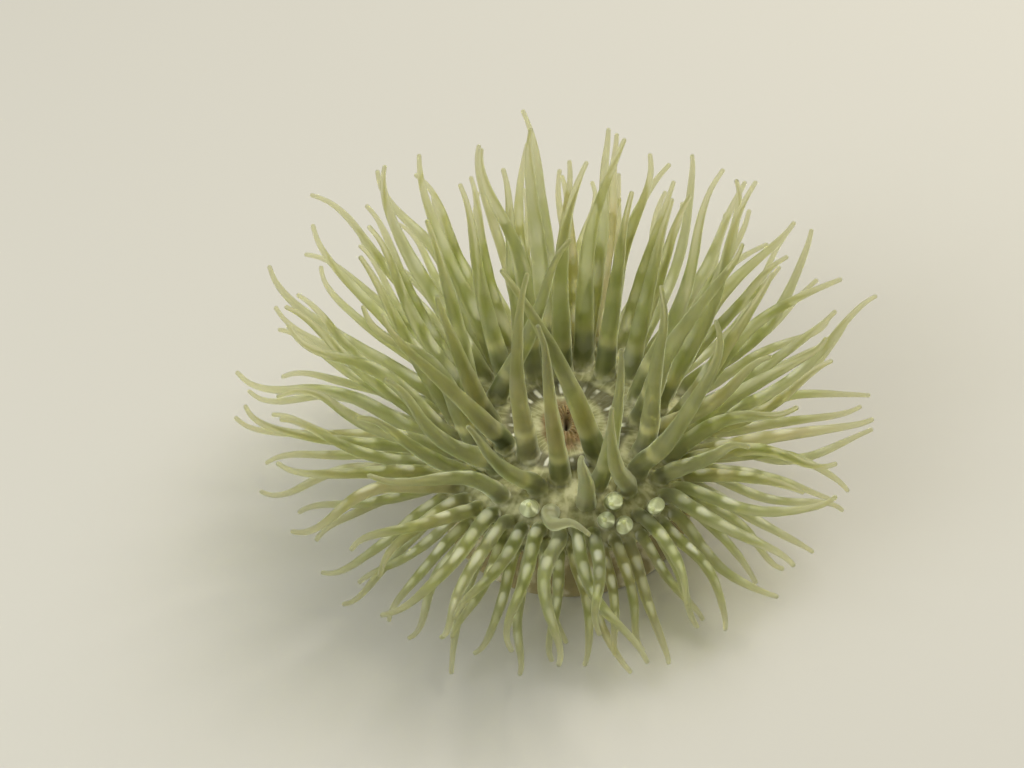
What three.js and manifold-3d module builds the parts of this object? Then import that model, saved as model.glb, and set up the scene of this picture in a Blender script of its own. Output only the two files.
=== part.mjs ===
// A sea anemone at life size, its crown of tentacles spread, its short column drawn down.
// Millimetres and degrees, Z up. The origin is the middle of the pedal disc, on the ground,
// and the near side of the animal faces -Y.
//
// The tentacles stand in cycles, as the young animal grew them: twelve tall ones round the
// mouth, then rows of twelve, twenty-four and forty-eight, and an unfinished outer row.
// Each one is a run of rings, thinning along a path of its own. The paths are first laid out
// by rule and then settled, so that every tentacle presses its neighbours aside.

import * as THREE from 'three';
import { mergeVertices } from 'three/addons/utils/BufferGeometryUtils.js';
import Module from 'manifold-3d';

const wasm = await Module();
wasm.setup();

// ---- Driving dimensions ----

const GAP = 0.3;               // thin cut between neighbouring pieces

const DISC_HEIGHT = 13.0;      // flat middle of the oral disc above the ground
const FLAT_RADIUS = 8.0;       // where the disc begins to slope down
const MARGIN_RADIUS = 16.3;    // the disc's widest line
const MARGIN_HEIGHT = 9.8;     // and its height
const LAYER_HEIGHT = 7.9;      // underside of the oral disc's pieces
const COLLAR_RADIUS = 15.0;    // fold under the margin, at that height
const MARGIN_SLOPE = 90;       // the disc's slope, in degrees, is 0 at its flat edge
const LOWEST_ROOT = 84;        // slope of the lowest root

const FOOT_RADIUS = 15.2;      // pedal disc
const FOOT_HEIGHT = 1.5;
const SOLE_ROUND = 0.2;        // how far its edge is drawn in at the ground
const BRIM_ROUND = 0.7;        // and at its top
const COLUMN_BASE = 14.2;      // column's radius where it stands on the pedal disc
const WAIST_RADIUS = 12.9;     // narrowest part of the column
const WAIST_HEIGHT = 4.8;
const COLUMN_TOP = 14.3;       // column's radius under the oral disc
const ROLL_RADIUS = 16.0;      // margin's rolled edge, under the disc's widest line
const ROLL_HEIGHT = 8.9;

const MOUTH_RADIUS = 2.5;      // raised lips, before they are drawn out lengthwise
const MOUTH_HEIGHT = 0.7;
const MOUTH_DEPTH = 1.6;
const LIP_CREST = 1.25;        // radius of the lips' highest line
const PIT_RADIUS = 0.5;
const MOUTH_STRETCH = [0.85, 1.25, 1];

const ROUND_SEGMENTS = 24;     // facets round the body
const MOUTH_SEGMENTS = 12;
const PATH_STEPS = 12;         // straight steps in one tentacle's path
const FOOT_SHARE = 0.07;       // length over which its foot spreads onto the disc
const TIP_START = 0.96;        // where the round tip begins, as a share of the length
const TIP_RADIUS = 0.30;
const HOOK_START = 0.68;       // where a tip begins to curl
const LEVELLING = 0.6;         // share of a drooping tip's fall that its curl takes back
const RING_SKEW = 1.5;         // how much closer the rings stand towards a tip
const HALF_WAY = 0.475;        // where a tall tentacle is parted in two lengths

const CLEARANCE = 0.35;        // room that a tentacle makes round itself
const GROUND_ROOM = 0.5;       // and over the ground
const ROOT_ROUNDS = 60;
const ROOT_SOFTNESS = 0.35;    // share of a root's push that it follows in one round
const PATH_ROUNDS = 120;
const EAGERNESS = 1.3;         // share of a path's push that it follows in one round
const STIFFNESS = 0.10;        // how firmly a pressed path keeps its first bends
const HELD_STEPS = 2;          // steps over which a path's root end is held
const SEARCH_EVERY = 8;        // rounds between two searches for neighbours
const SEARCH_RANGE = 6;
const TINY = 1e-9;

// Each cycle: how many, where on the disc's slope (0 is its flat edge, 90 its margin), and
// the length and root radius of one tentacle. The lifts are angles above level at the root
// and at the tip, for the near side, the flanks and the far side. A taper of 1 makes a
// straight cone, and more than 1 keeps it full for longer.
const CYCLES = [
  { name: 'tall', count: 12, offset: 0, slope: 8, length: 28.0, root: 1.30,
    rootLift: [80, 76, 76], tipLift: [70, 66, 72], nearShrink: 0, taper: 1.1, facets: 5, rings: 3 },
  { name: 'third', count: 12, offset: 0.5, slope: 18, length: 28.0, root: 1.25,
    rootLift: [78, 74, 74], tipLift: [70, 64, 70], nearShrink: 0, taper: 1.2, facets: 5, rings: 4 },
  { name: 'fourth', count: 24, offset: 0.5, slope: 34, length: 26.0, root: 1.05,
    rootLift: [50, 56, 62], tipLift: [38, 56, 70], nearShrink: 0, taper: 1.5, facets: 4, rings: 4 },
  { name: 'fifth', count: 48, offset: 0.5, slope: 56, length: 24.0, root: 0.84,
    rootLift: [20, 33, 46], tipLift: [-6, 34, 64], nearShrink: 0.20, taper: 1.8, facets: 4, rings: 4 },
  { name: 'outer', count: 64, offset: 0.5, slope: 80, length: 20.5, root: 0.68,
    rootLift: [-20, 5, 24], tipLift: [-46, 10, 52], nearShrink: 0.34, taper: 1.8, facets: 4, rings: 4 },
];

// A section of few corners is drawn this much fuller, so that it is as thick as a round one.
const FULLNESS = { 4: 1.12, 5: 1.07 };

// How much one tentacle differs from the next, at most. Each habit has its own number, from
// which its chances are drawn. Length and thickness vary by a share of their size, and turn
// by a share of the space between two tentacles. The others are angles.
const HABITS = {
  length: { number: 1, varies: 0.15 },
  thickness: { number: 2, varies: 0.10 },
  turn: { number: 3, varies: 0.25 },
  rootLift: { number: 4, varies: 8 },
  tipLift: { number: 5, varies: 18 },
  rootAim: { number: 6, varies: 8 },
  tipAim: { number: 7, varies: 32 },
  hook: { number: 8, varies: 60 },
  bend: { number: 9, varies: 15 },
  sway: { number: 10, varies: 15 },
  swerve: { number: 11, varies: 60 },
};
const CALM = 0.5;              // share of the last four for a tentacle set by hand

// The crown reaches further on one side and is drawn in on another: by how much of the
// length, which way, and how narrow that side is.
const REACHES = [
  { share: 0.09, towards: 152, narrow: 8 },
  { share: -0.14, towards: 334, narrow: 12 },
];

// The tips lean together and apart in slow waves round the crown.
const CROWD_WAVES = [
  { swing: 8, waves: 3, phase: 40 },
  { swing: 5, waves: 7, phase: 0 },
];

// The tentacles that stand foremost are set by hand: their turn round the disc, distance
// from its middle, length and root radius, their lift at root and tip, and where they aim
// at root and tip, counted from straight outward. Where calm is given, that tentacle is
// straighter still.
const HAND_SET = {
  tall_5: { turn: 152, out: 9.2, length: 28.0, root: 1.30, lift: [72, 76], aim: [195, 200] },
  tall_6: { turn: 176, out: 9.0, length: 25.0, root: 1.30, lift: [72, 80], aim: [30, 50] },
  tall_7: { turn: 204, out: 9.0, length: 29.0, root: 1.30, lift: [58, 66], aim: [0, -6] },
  tall_8: { turn: 228, out: 6.4, length: 28.5, root: 1.35, lift: [86, 92], aim: [0, 10] },
  tall_9: { turn: 265, out: 8.0, length: 27.0, root: 1.22, lift: [80, 88], aim: [0, -90] },
  tall_10: { turn: 306, out: 6.2, length: 30.0, root: 1.40, lift: [74, 64], aim: [-140, -136] },
  tall_11: { turn: 334, out: 9.6, length: 27.0, root: 1.30, lift: [76, 96], aim: [10, -20] },
  third_7: { turn: 220, out: 10.4, length: 27.0, root: 1.25, lift: [52, 74], aim: [2, -10] },
  third_8: { turn: 252, out: 10.4, length: 21.0, root: 1.15, lift: [52, 74], aim: [-28, -30] },
  third_9: { turn: 291, out: 9.6, length: 25.0, root: 1.12, lift: [70, 94], aim: [20, 10] },
  third_10: { turn: 317, out: 11.2, length: 28.5, root: 1.25, lift: [50, 94], aim: [26, 30] },
  third_11: { turn: 350, out: 11.0, length: 27.0, root: 1.20, lift: [54, 66], aim: [-20, -40] },
  fourth_16: { turn: 252, out: 12.4, length: 20.0, root: 1.05, lift: [48, 54], aim: [18, 21],
    calm: 0.15 },
  fourth_18: { turn: 281, out: 11.6, length: 22.0, root: 1.10, lift: [60, 66], aim: [-12, -22] },
  fourth_19: { turn: 294, out: 12.6, length: 20.0, root: 1.00, lift: [50, 50], aim: [-25, -27],
    calm: 0.15 },
  fourth_20: { turn: 307, out: 11.6, length: 22.0, root: 1.10, lift: [66, 74], aim: [-50, -64] },
  fifth_38: { turn: 286, out: 14.5, length: 18.0, root: 0.90, lift: [52, 50], aim: [-17, -18],
    calm: 0.15 },
  fifth_39: { turn: 300, out: 14.9, length: 17.0, root: 0.88, lift: [48, 54], aim: [-33, -32],
    calm: 0.15 },
  fifth_41: { turn: 310, out: 15.2, length: 18.0, root: 0.88, lift: [50, 50], aim: [-44, -46],
    calm: 0.15 },
};

const radians = THREE.MathUtils.degToRad;
const lerp = THREE.MathUtils.lerp;
const clamp = THREE.MathUtils.clamp;

// ---- Materials ----

function flesh(color, roughness) {
  return new THREE.MeshStandardMaterial({ color, roughness, metalness: 0 });
}

const tentacleFlesh = flesh(0x8a8f52, 0.35);
const discFlesh = flesh(0x6f6a3a, 0.45);
const mouthFlesh = flesh(0x8a5a36, 0.5);
const columnFlesh = flesh(0x8c8262, 0.6);

// ---- The disc's surface ----

const slopeRun = MARGIN_RADIUS - FLAT_RADIUS;
const slopeDrop = DISC_HEIGHT - MARGIN_HEIGHT;

function toPoint(turn, { x: radius, y: height }) {
  return new THREE.Vector3(radius * Math.cos(turn), radius * Math.sin(turn), height);
}

// Radius and height of a line on the disc's shoulder, a quarter of an ellipse.
function shoulder(slope) {
  const radius = FLAT_RADIUS + slopeRun * Math.sin(radians(slope));
  const height = MARGIN_HEIGHT + slopeDrop * Math.cos(radians(slope));
  return new THREE.Vector2(radius, height);
}

// Turn and slope of the place on the disc that a point lies over.
function placeOnDisc(point) {
  const out = Math.max(0, Math.hypot(point.x, point.y) - FLAT_RADIUS) / slopeRun;
  const up = Math.max(0, point.z - MARGIN_HEIGHT) / slopeDrop;
  return {
    turn: Math.atan2(point.y, point.x),
    slope: out > 0 ? THREE.MathUtils.radToDeg(Math.atan2(out, up)) : 0,
  };
}

// Moves a point onto the disc, no further down its shoulder than the given slope.
function ontoDisc(point, lowestSlope) {
  const radius = Math.hypot(point.x, point.y);
  if (radius <= FLAT_RADIUS) {
    point.z = DISC_HEIGHT;
    return;
  }
  const { turn, slope } = placeOnDisc(point);
  point.copy(toPoint(turn, shoulder(Math.min(slope, lowestSlope))));
}

// ---- Laying out the tentacles ----

// How far one tentacle strays in one habit: a repeatable number from minus to plus the
// habit's range, stirred from the tentacle's number and the habit's.
function stray(tentacle, habit) {
  const prime = 65521;
  const [tentacleStride, habitStride, start] = [7919, 104729, 12345];
  const [factor, step, stirs] = [17364, 5171, 3];
  const { number, varies } = HABITS[habit];
  let mixed = (tentacle * tentacleStride + number * habitStride + start) % prime;
  for (let stir = 0; stir < stirs; stir++) {
    mixed = (mixed * factor + step) % prime;
  }
  return varies * (2 * mixed / prime - 1);
}

// Blends a value for the near side, the flanks and the far side by the turn round the disc.
function bySide([near, flank, far], turn) {
  const toFar = Math.sin(radians(turn));
  return toFar > 0 ? lerp(flank, far, toFar) : lerp(flank, near, -toFar);
}

function crowdLean(turn) {
  return CROWD_WAVES.reduce((lean, { swing, waves, phase }) => (
    lean + swing * Math.sin(radians(waves * turn + phase))), 0);
}

function stretched(turn) {
  return REACHES.reduce((size, { share, towards, narrow }) => (
    size + share * Math.max(0, Math.cos(radians(turn - towards))) ** narrow), 1);
}

function habitsByRule(cycle, index, number) {
  const spacing = 360 / cycle.count;
  const evenTurn = (index + cycle.offset) * spacing;
  const turn = evenTurn + spacing * stray(number, 'turn');
  const near = Math.max(0, -Math.sin(radians(evenTurn)));
  return {
    root: toPoint(radians(turn), shoulder(cycle.slope)),
    length: cycle.length * (1 + stray(number, 'length')) * (1 - cycle.nearShrink * near)
      * stretched(evenTurn),
    rootRadius: cycle.root * (1 + stray(number, 'thickness')),
    rootLift: bySide(cycle.rootLift, evenTurn) + stray(number, 'rootLift'),
    tipLift: bySide(cycle.tipLift, evenTurn) + stray(number, 'tipLift'),
    rootAim: turn + stray(number, 'rootAim'),
    tipAim: turn + crowdLean(evenTurn) + stray(number, 'tipAim'),
    calm: 1,
  };
}

function habitsByHand({ turn, out, length, root: rootRadius, lift, aim, calm = CALM }) {
  const ahead = Math.max(0, out - FLAT_RADIUS) / slopeRun;
  const height = MARGIN_HEIGHT + slopeDrop * Math.sqrt(1 - ahead ** 2);
  return {
    root: toPoint(radians(turn), new THREE.Vector2(out, height)),
    length,
    rootRadius,
    rootLift: lift[0],
    tipLift: lift[1],
    rootAim: turn + aim[0],
    tipAim: turn + aim[1],
    calm,
  };
}

function layOut() {
  const tentacles = [];
  for (const cycle of CYCLES) {
    for (let index = 0; index < cycle.count; index++) {
      const number = tentacles.length;
      const pose = HAND_SET[`${cycle.name}_${index}`];
      const habits = pose ? habitsByHand(pose) : habitsByRule(cycle, index, number);
      tentacles.push({
        cycle,
        hook: habits.calm * stray(number, 'hook'),
        bend: habits.calm * stray(number, 'bend'),
        sway: habits.calm * stray(number, 'sway'),
        swerve: habits.calm * stray(number, 'swerve'),
        ...habits,
      });
    }
  }
  return tentacles;
}

function radiusAt(tentacle, share) {
  const full = 1 - clamp(share, 0, 1) ** tentacle.cycle.taper;
  return lerp(TIP_RADIUS, tentacle.rootRadius, full);
}

function firstPath(tentacle) {
  const path = [tentacle.root.clone()];
  const step = tentacle.length / PATH_STEPS;
  const hook = tentacle.hook + LEVELLING * Math.max(0, -tentacle.tipLift);
  for (let k = 0; k < PATH_STEPS; k++) {
    const share = (k + 0.5) / PATH_STEPS;
    const curl = Math.max(0, (share - HOOK_START) / (1 - HOOK_START)) ** 2;
    const wave = Math.sin(2 * Math.PI * share);
    const lift = radians(lerp(tentacle.rootLift, tentacle.tipLift, share)
      + hook * curl + tentacle.bend * wave);
    const aim = radians(lerp(tentacle.rootAim, tentacle.tipAim, share)
      + tentacle.swerve * curl + tentacle.sway * wave);
    const direction = new THREE.Vector3(Math.cos(lift) * Math.cos(aim),
      Math.cos(lift) * Math.sin(aim), Math.sin(lift));
    path.push(path[k].clone().addScaledVector(direction, step));
  }
  return path;
}

// ---- Settling the tentacles ----

// Roots that crowd each other shift along the disc until they have room.
function settleRoots(tentacles) {
  for (let round = 0; round < ROOT_ROUNDS; round++) {
    const moves = tentacles.map(() => new THREE.Vector3());
    tentacles.forEach((first, i) => {
      for (let j = i + 1; j < tentacles.length; j++) {
        const second = tentacles[j];
        const apart = first.root.clone().sub(second.root);
        const short = first.rootRadius + second.rootRadius + CLEARANCE - apart.length();
        if (short > 0) {
          apart.setLength(short * ROOT_SOFTNESS);
          moves[i].add(apart);
          moves[j].sub(apart);
        }
      }
    });
    tentacles.forEach((tentacle, i) => {
      tentacle.root.add(moves[i]);
      ontoDisc(tentacle.root, LOWEST_ROOT);
    });
  }
}

// Shares along two straight steps at which they come closest.
function closestShares(a0, a1, b0, b1) {
  const alongA = a1.clone().sub(a0);
  const alongB = b1.clone().sub(b0);
  const between = a0.clone().sub(b0);
  const a = alongA.dot(alongA);
  const e = alongB.dot(alongB);
  const b = alongA.dot(alongB);
  const c = alongA.dot(between);
  const f = alongB.dot(between);
  const slant = a * e - b * b;
  let onA = slant > TINY ? clamp((b * f - c * e) / slant, 0, 1) : 0;
  const onB = (b * onA + f) / e;
  if (onB < 0) {
    onA = clamp(-c / a, 0, 1);
  } else if (onB > 1) {
    onA = clamp((b - c) / a, 0, 1);
  }
  return [onA, clamp(onB, 0, 1)];
}

function findNeighbours(tentacles) {
  const steps = [];
  tentacles.forEach((tentacle, owner) => {
    for (let k = 0; k < PATH_STEPS; k++) {
      const middle = tentacle.path[k].clone().add(tentacle.path[k + 1]).multiplyScalar(0.5);
      steps.push({ owner, k, middle });
    }
  });
  const pairs = [];
  steps.forEach((first, i) => {
    for (let j = i + 1; j < steps.length; j++) {
      const second = steps[j];
      if (first.owner !== second.owner
        && Math.abs(first.middle.x - second.middle.x) < SEARCH_RANGE
        && Math.abs(first.middle.y - second.middle.y) < SEARCH_RANGE
        && Math.abs(first.middle.z - second.middle.z) < SEARCH_RANGE) {
        pairs.push([first, second]);
      }
    }
  });
  return pairs;
}

// Where two steps are too close, each of their four ends takes a share of the push.
function pressApart(tentacles, first, second) {
  const one = tentacles[first.owner];
  const other = tentacles[second.owner];
  const [s, t] = closestShares(one.path[first.k], one.path[first.k + 1],
    other.path[second.k], other.path[second.k + 1]);
  const onFirst = one.path[first.k].clone().lerp(one.path[first.k + 1], s);
  const onSecond = other.path[second.k].clone().lerp(other.path[second.k + 1], t);
  const room = lerp(one.radii[first.k], one.radii[first.k + 1], s)
    + lerp(other.radii[second.k], other.radii[second.k + 1], t) + CLEARANCE;
  const apart = onFirst.sub(onSecond);
  const distance = apart.length();
  if (distance >= room) {
    return;
  }
  const push = apart.multiplyScalar(0.5 * (room - distance) / Math.max(distance, TINY));
  for (const [tentacle, k, weight, sign] of [
    [one, first.k, 1 - s, 1], [one, first.k + 1, s, 1],
    [other, second.k, 1 - t, -1], [other, second.k + 1, t, -1]]) {
    tentacle.moves[k].addScaledVector(push, sign * weight);
    tentacle.shares[k] += weight;
  }
}

// After the push a tentacle stays smooth, off the ground and at its own length.
function giveWay(tentacle) {
  const { path, rest, moves, shares, radii } = tentacle;
  const before = path.map((point, k) => {
    const free = Math.min(1, k / HELD_STEPS);
    return point.clone().addScaledVector(moves[k], EAGERNESS * free / Math.max(shares[k], 1));
  });
  const smooth = before.map((point) => point.clone());
  for (let k = HELD_STEPS; k < PATH_STEPS; k++) {
    const sag = before[k - 1].clone().add(before[k + 1]).multiplyScalar(0.5).sub(before[k]);
    const restSag = rest[k - 1].clone().add(rest[k + 1]).multiplyScalar(0.5).sub(rest[k]);
    smooth[k].addScaledVector(sag.sub(restSag), STIFFNESS);
  }
  for (let k = 1; k <= PATH_STEPS; k++) {
    smooth[k].z = Math.max(smooth[k].z, radii[k] + GROUND_ROOM);
  }
  const step = tentacle.length / PATH_STEPS;
  for (let k = 0; k < PATH_STEPS; k++) {
    smooth[k + 1].sub(smooth[k]).setLength(step).add(smooth[k]);
  }
  tentacle.path = smooth;
}

function settlePaths(tentacles) {
  for (const tentacle of tentacles) {
    tentacle.path = firstPath(tentacle);
    tentacle.rest = tentacle.path;
    tentacle.radii = tentacle.path.map((_, k) => radiusAt(tentacle, k / PATH_STEPS));
  }
  let pairs = [];
  for (let round = 0; round < PATH_ROUNDS; round++) {
    if (round % SEARCH_EVERY === 0) {
      pairs = findNeighbours(tentacles);
    }
    for (const tentacle of tentacles) {
      tentacle.moves = tentacle.path.map(() => new THREE.Vector3());
      tentacle.shares = tentacle.path.map(() => 0);
    }
    for (const [first, second] of pairs) {
      pressApart(tentacles, first, second);
    }
    tentacles.forEach(giveWay);
  }
}

// ---- Bands of the disc ----

// Three bands of the disc carry the shorter cycles. Slopes are the band's inner and outer
// line on the shoulder, and feet are the radii of the same two walls at the underside.
const BANDS = {
  middle: { cycles: ['third', 'fourth'], sectors: 12, facets: 2,
    slopes: [0, 43.7], feet: [FLAT_RADIUS, 12.1] },
  fifth: { cycles: ['fifth'], sectors: 8, facets: 3,
    slopes: [46.4, 66], feet: [12.5, 13.1] },
  outer: { cycles: ['outer'], sectors: 8, facets: 3,
    slopes: [70, MARGIN_SLOPE], feet: [13.5, COLLAR_RADIUS] },
};
const PATCH_BOW = 0.5;         // how far a band's lines bow, in degrees of slope
const SIDE_RIM = 0.1;          // least flesh between a foot and a sector's side
const SLOPE_RIM = 1;           // and its inner or outer line, in degrees of slope

// ---- Tentacle rings ----

// One ring of corners across a tentacle, counter-clockwise as seen from its tip.
function ring(tentacle, share) {
  const { facets } = tentacle.cycle;
  const frame = Math.round(share * PATH_STEPS);
  const normal = tentacle.frames.normals[frame];
  const binormal = tentacle.frames.binormals[frame];
  const middle = tentacle.curve.getPointAt(share);
  const reach = FULLNESS[facets] * radiusAt(tentacle, share);
  return Array.from({ length: facets }, (_, corner) => {
    const angle = 2 * Math.PI * corner / facets;
    return middle.clone()
      .addScaledVector(normal, reach * Math.cos(angle))
      .addScaledVector(binormal, reach * Math.sin(angle));
  });
}

// The foot's corners: the first ring, turned flat onto the disc about the root.
function footCorners(tentacle) {
  const { root } = tentacle;
  const { turn, slope } = placeOnDisc(root);
  const upright = new THREE.Vector2(Math.sin(radians(slope)) / slopeRun,
    Math.cos(radians(slope)) / slopeDrop).normalize();
  const outward = toPoint(turn, upright);
  return ring(tentacle, 0).map((corner) => {
    const spread = corner.sub(root);
    const reach = spread.length();
    spread.projectOnPlane(outward).setLength(reach).add(root);
    ontoDisc(spread, MARGIN_SLOPE);
    return spread;
  });
}

// Slopes of a patch's inner and outer line. They bow a little, so that no three corners
// of the patch fall in line.
function patchLines({ fromTurn, toTurn, slopes }, turn) {
  const bow = PATCH_BOW * Math.sin(Math.PI * (turn - fromTurn) / (toTurn - fromTurn));
  return [slopes[0] - bow, slopes[1] + bow];
}

// The same corners as turn and slope, kept inside the given patch of the disc.
function footprint(tentacle, patch) {
  const middle = (patch.fromTurn + patch.toTurn) / 2;
  return footCorners(tentacle).map((corner) => {
    const { turn, slope } = placeOnDisc(corner);
    const nearTurn = turn + 2 * Math.PI * Math.round((middle - turn) / (2 * Math.PI));
    const rim = SIDE_RIM / Math.hypot(corner.x, corner.y);
    const insideTurn = clamp(nearTurn, patch.fromTurn + rim, patch.toTurn - rim);
    const [inner, outer] = patchLines(patch, insideTurn);
    return new THREE.Vector2(insideTurn, clamp(slope, inner + SLOPE_RIM, outer - SLOPE_RIM));
  });
}

// ---- Closed meshes ----

// Gathers the triangles of one closed body. Corners are given in outward order.
class Shell {
  constructor() {
    this.corners = [];
  }

  triangle(a, b, c) {
    this.corners.push(a, b, c);
  }

  quad(a, b, c, d) {
    this.triangle(a, b, c);
    this.triangle(a, c, d);
  }

  // A flat or gently curved face with few corners.
  fan(loop) {
    for (let k = 1; k + 1 < loop.length; k++) {
      this.triangle(loop[0], loop[k], loop[k + 1]);
    }
  }

  // The wall between two loops that turn the same way.
  band(lower, upper) {
    lower.forEach((corner, k) => {
      const next = (k + 1) % lower.length;
      this.quad(corner, lower[next], upper[next], upper[k]);
    });
  }

  solid() {
    const geometry = new THREE.BufferGeometry().setFromPoints(this.corners);
    geometry.setIndex(this.corners.map((_, k) => k));
    return toSolid(geometry);
  }
}

// One solid from a closed mesh. Corners at one place are joined, and flat triangles at a
// seam or pole are dropped.
function toSolid(geometry) {
  geometry.deleteAttribute('normal');
  geometry.deleteAttribute('uv');
  const merged = mergeVertices(geometry);
  const corners = merged.index.array;
  const triangles = [];
  for (let i = 0; i < corners.length; i += 3) {
    const [a, b, c] = [corners[i], corners[i + 1], corners[i + 2]];
    if (a !== b && b !== c && c !== a) {
      triangles.push(a, b, c);
    }
  }
  return new wasm.Manifold(new wasm.Mesh({
    numProp: 3,
    vertProperties: new Float32Array(merged.attributes.position.array),
    triVerts: new Uint32Array(triangles),
  }));
}

// A turned solid about the Z axis from [radius, height] points that begin and end on it.
function turned(points, segments) {
  const profile = points.map(([radius, height]) => new THREE.Vector2(radius, height));
  return toSolid(new THREE.LatheGeometry(profile, segments).rotateX(Math.PI / 2));
}

// The rings of a tentacle from one share of its length to another, then its round tip.
function growTube(shell, tentacle, firstLoop, shares) {
  let lower = firstLoop;
  for (const share of shares) {
    const upper = ring(tentacle, share);
    shell.band(lower, upper);
    lower = upper;
  }
  return lower;
}

function closeTip(shell, tentacle, lastLoop) {
  const end = tentacle.curve.getPointAt(1);
  lastLoop.forEach((corner, k) => {
    shell.triangle(corner, lastLoop[(k + 1) % lastLoop.length], end);
  });
}

function ringShares(from, to, rings, skew = 1) {
  return Array.from({ length: rings }, (_, k) => (
    lerp(to, from, (1 - (k + 1) / rings) ** skew)));
}

// ---- Body ----

// Lips drawn out towards the near and the far side, round a pit. With room, the same shape
// a little larger and filled.
function lips(room) {
  const crest = DISC_HEIGHT + MOUTH_HEIGHT + room;
  const pit = room > 0 ? crest : DISC_HEIGHT - MOUTH_DEPTH;
  return turned([[0, LAYER_HEIGHT], [MOUTH_RADIUS + room, LAYER_HEIGHT],
    [MOUTH_RADIUS + room, DISC_HEIGHT], [LIP_CREST + room, crest],
    [PIT_RADIUS, pit], [0, pit]], MOUTH_SEGMENTS).scale(MOUTH_STRETCH);
}

function middleOfDisc() {
  const edge = FLAT_RADIUS - GAP;
  return turned([[0, LAYER_HEIGHT], [edge, LAYER_HEIGHT],
    [edge, DISC_HEIGHT], [0, DISC_HEIGHT]], ROUND_SEGMENTS).subtract(lips(GAP));
}

function column() {
  const base = FOOT_HEIGHT + GAP;
  const top = LAYER_HEIGHT - GAP;
  return turned([[0, base], [COLUMN_BASE, base], [WAIST_RADIUS, WAIST_HEIGHT],
    [COLUMN_TOP, top], [0, top]], ROUND_SEGMENTS);
}

function pedalDisc() {
  return turned([[0, 0], [FOOT_RADIUS - SOLE_ROUND, 0], [FOOT_RADIUS, FOOT_HEIGHT / 2],
    [FOOT_RADIUS - BRIM_ROUND, FOOT_HEIGHT], [0, FOOT_HEIGHT]], ROUND_SEGMENTS);
}

// ---- The crown's sectors ----

// A loop of corners round a sector, counter-clockwise from above: out along its outer
// line and back along its inner line.
function sectorLoop({ fromTurn, toTurn, facets }, outerCorner, innerCorner) {
  const turns = Array.from({ length: facets + 1 }, (_, k) => lerp(fromTurn, toTurn, k / facets));
  return [...turns.map(outerCorner), ...turns.reverse().map(innerCorner)];
}

function crownSector(band, index, tentacles) {
  const { sectors, facets, slopes, feet } = BANDS[band];
  const sideRoom = GAP / (2 * shoulder(slopes[0]).x);
  const patch = {
    fromTurn: 2 * Math.PI * index / sectors + sideRoom,
    toTurn: 2 * Math.PI * (index + 1) / sectors - sideRoom,
    slopes,
    facets,
  };
  const shell = new Shell();
  const onDisc = ({ x: turn, y: slope }) => toPoint(turn, shoulder(slope));
  const atHeight = (height, radius) => (turn) => toPoint(turn, new THREE.Vector2(radius, height));

  // The upper face is laid out flat, with a hole for each foot, and then folded on.
  const outline = sectorLoop(patch,
    (turn) => new THREE.Vector2(turn, patchLines(patch, turn)[1]),
    (turn) => new THREE.Vector2(turn, patchLines(patch, turn)[0]));
  const footprints = tentacles.map((tentacle) => footprint(tentacle, patch));
  const flat = [outline, ...footprints].flat();
  for (const [a, b, c] of THREE.ShapeUtils.triangulateShape(outline, footprints)) {
    const clockwise = THREE.ShapeUtils.area([flat[a], flat[b], flat[c]]) < 0;
    const corners = (clockwise ? [a, b, c] : [c, b, a]).map((k) => onDisc(flat[k]));
    shell.triangle(...corners);
  }

  // Each tentacle rises from its hole.
  tentacles.forEach((tentacle, k) => {
    const { rings } = tentacle.cycle;
    const shares = [FOOT_SHARE, ...ringShares(FOOT_SHARE, TIP_START, rings, RING_SKEW)];
    closeTip(shell, tentacle, growTube(shell, tentacle, footprints[k].map(onDisc), shares));
  });

  // Walls and underside. The margin rolls under the outer band before it meets the column.
  const top = outline.map(onDisc);
  const bottom = sectorLoop(patch,
    atHeight(LAYER_HEIGHT, feet[1]), atHeight(LAYER_HEIGHT, feet[0]));
  if (band === 'outer') {
    const inner = shoulder(slopes[0]);
    const under = sectorLoop(patch, atHeight(ROLL_HEIGHT, ROLL_RADIUS),
      atHeight((inner.y + LAYER_HEIGHT) / 2, (inner.x + feet[0]) / 2));
    shell.band(under, top);
    shell.band(bottom, under);
  } else {
    shell.band(bottom, top);
  }
  for (let k = 0; k < facets; k++) {
    const last = bottom.length - 1;
    shell.quad(bottom[k], bottom[last - k], bottom[last - k - 1], bottom[k + 1]);
  }
  return shell.solid();
}

// ---- Tall tentacles ----

// The lower length stands a gap above the disc, on a foot that follows its surface.
function lowerLength(tentacle) {
  const shell = new Shell();
  const foot = footCorners(tentacle).map((corner) => corner.setZ(corner.z + GAP));
  const shares = [FOOT_SHARE, ...ringShares(FOOT_SHARE, HALF_WAY, tentacle.cycle.rings)];
  shell.fan([...foot].reverse());
  shell.fan(growTube(shell, tentacle, foot, shares));
  return shell.solid();
}

function upperLength(tentacle) {
  const shell = new Shell();
  const start = HALF_WAY + GAP / tentacle.length;
  const firstLoop = ring(tentacle, start);
  shell.fan([...firstLoop].reverse());
  closeTip(shell, tentacle,
    growTube(shell, tentacle, firstLoop, ringShares(start, TIP_START, tentacle.cycle.rings)));
  return shell.solid();
}

// ---- The model ----

// Each piece is placed by the point it hangs from.
function piece(name, solid, material, place) {
  const { vertProperties, triVerts } = solid.getMesh();
  const geometry = new THREE.BufferGeometry();
  geometry.setAttribute('position', new THREE.BufferAttribute(vertProperties, 3));
  geometry.setIndex(new THREE.BufferAttribute(triVerts, 1));
  geometry.translate(-place.x, -place.y, -place.z);
  geometry.computeVertexNormals();
  const mesh = new THREE.Mesh(geometry, material);
  mesh.name = name;
  mesh.position.copy(place);
  return mesh;
}

function numbered(stem, index) {
  return `${stem}_${String(index + 1).padStart(2, '0')}`;
}

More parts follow.
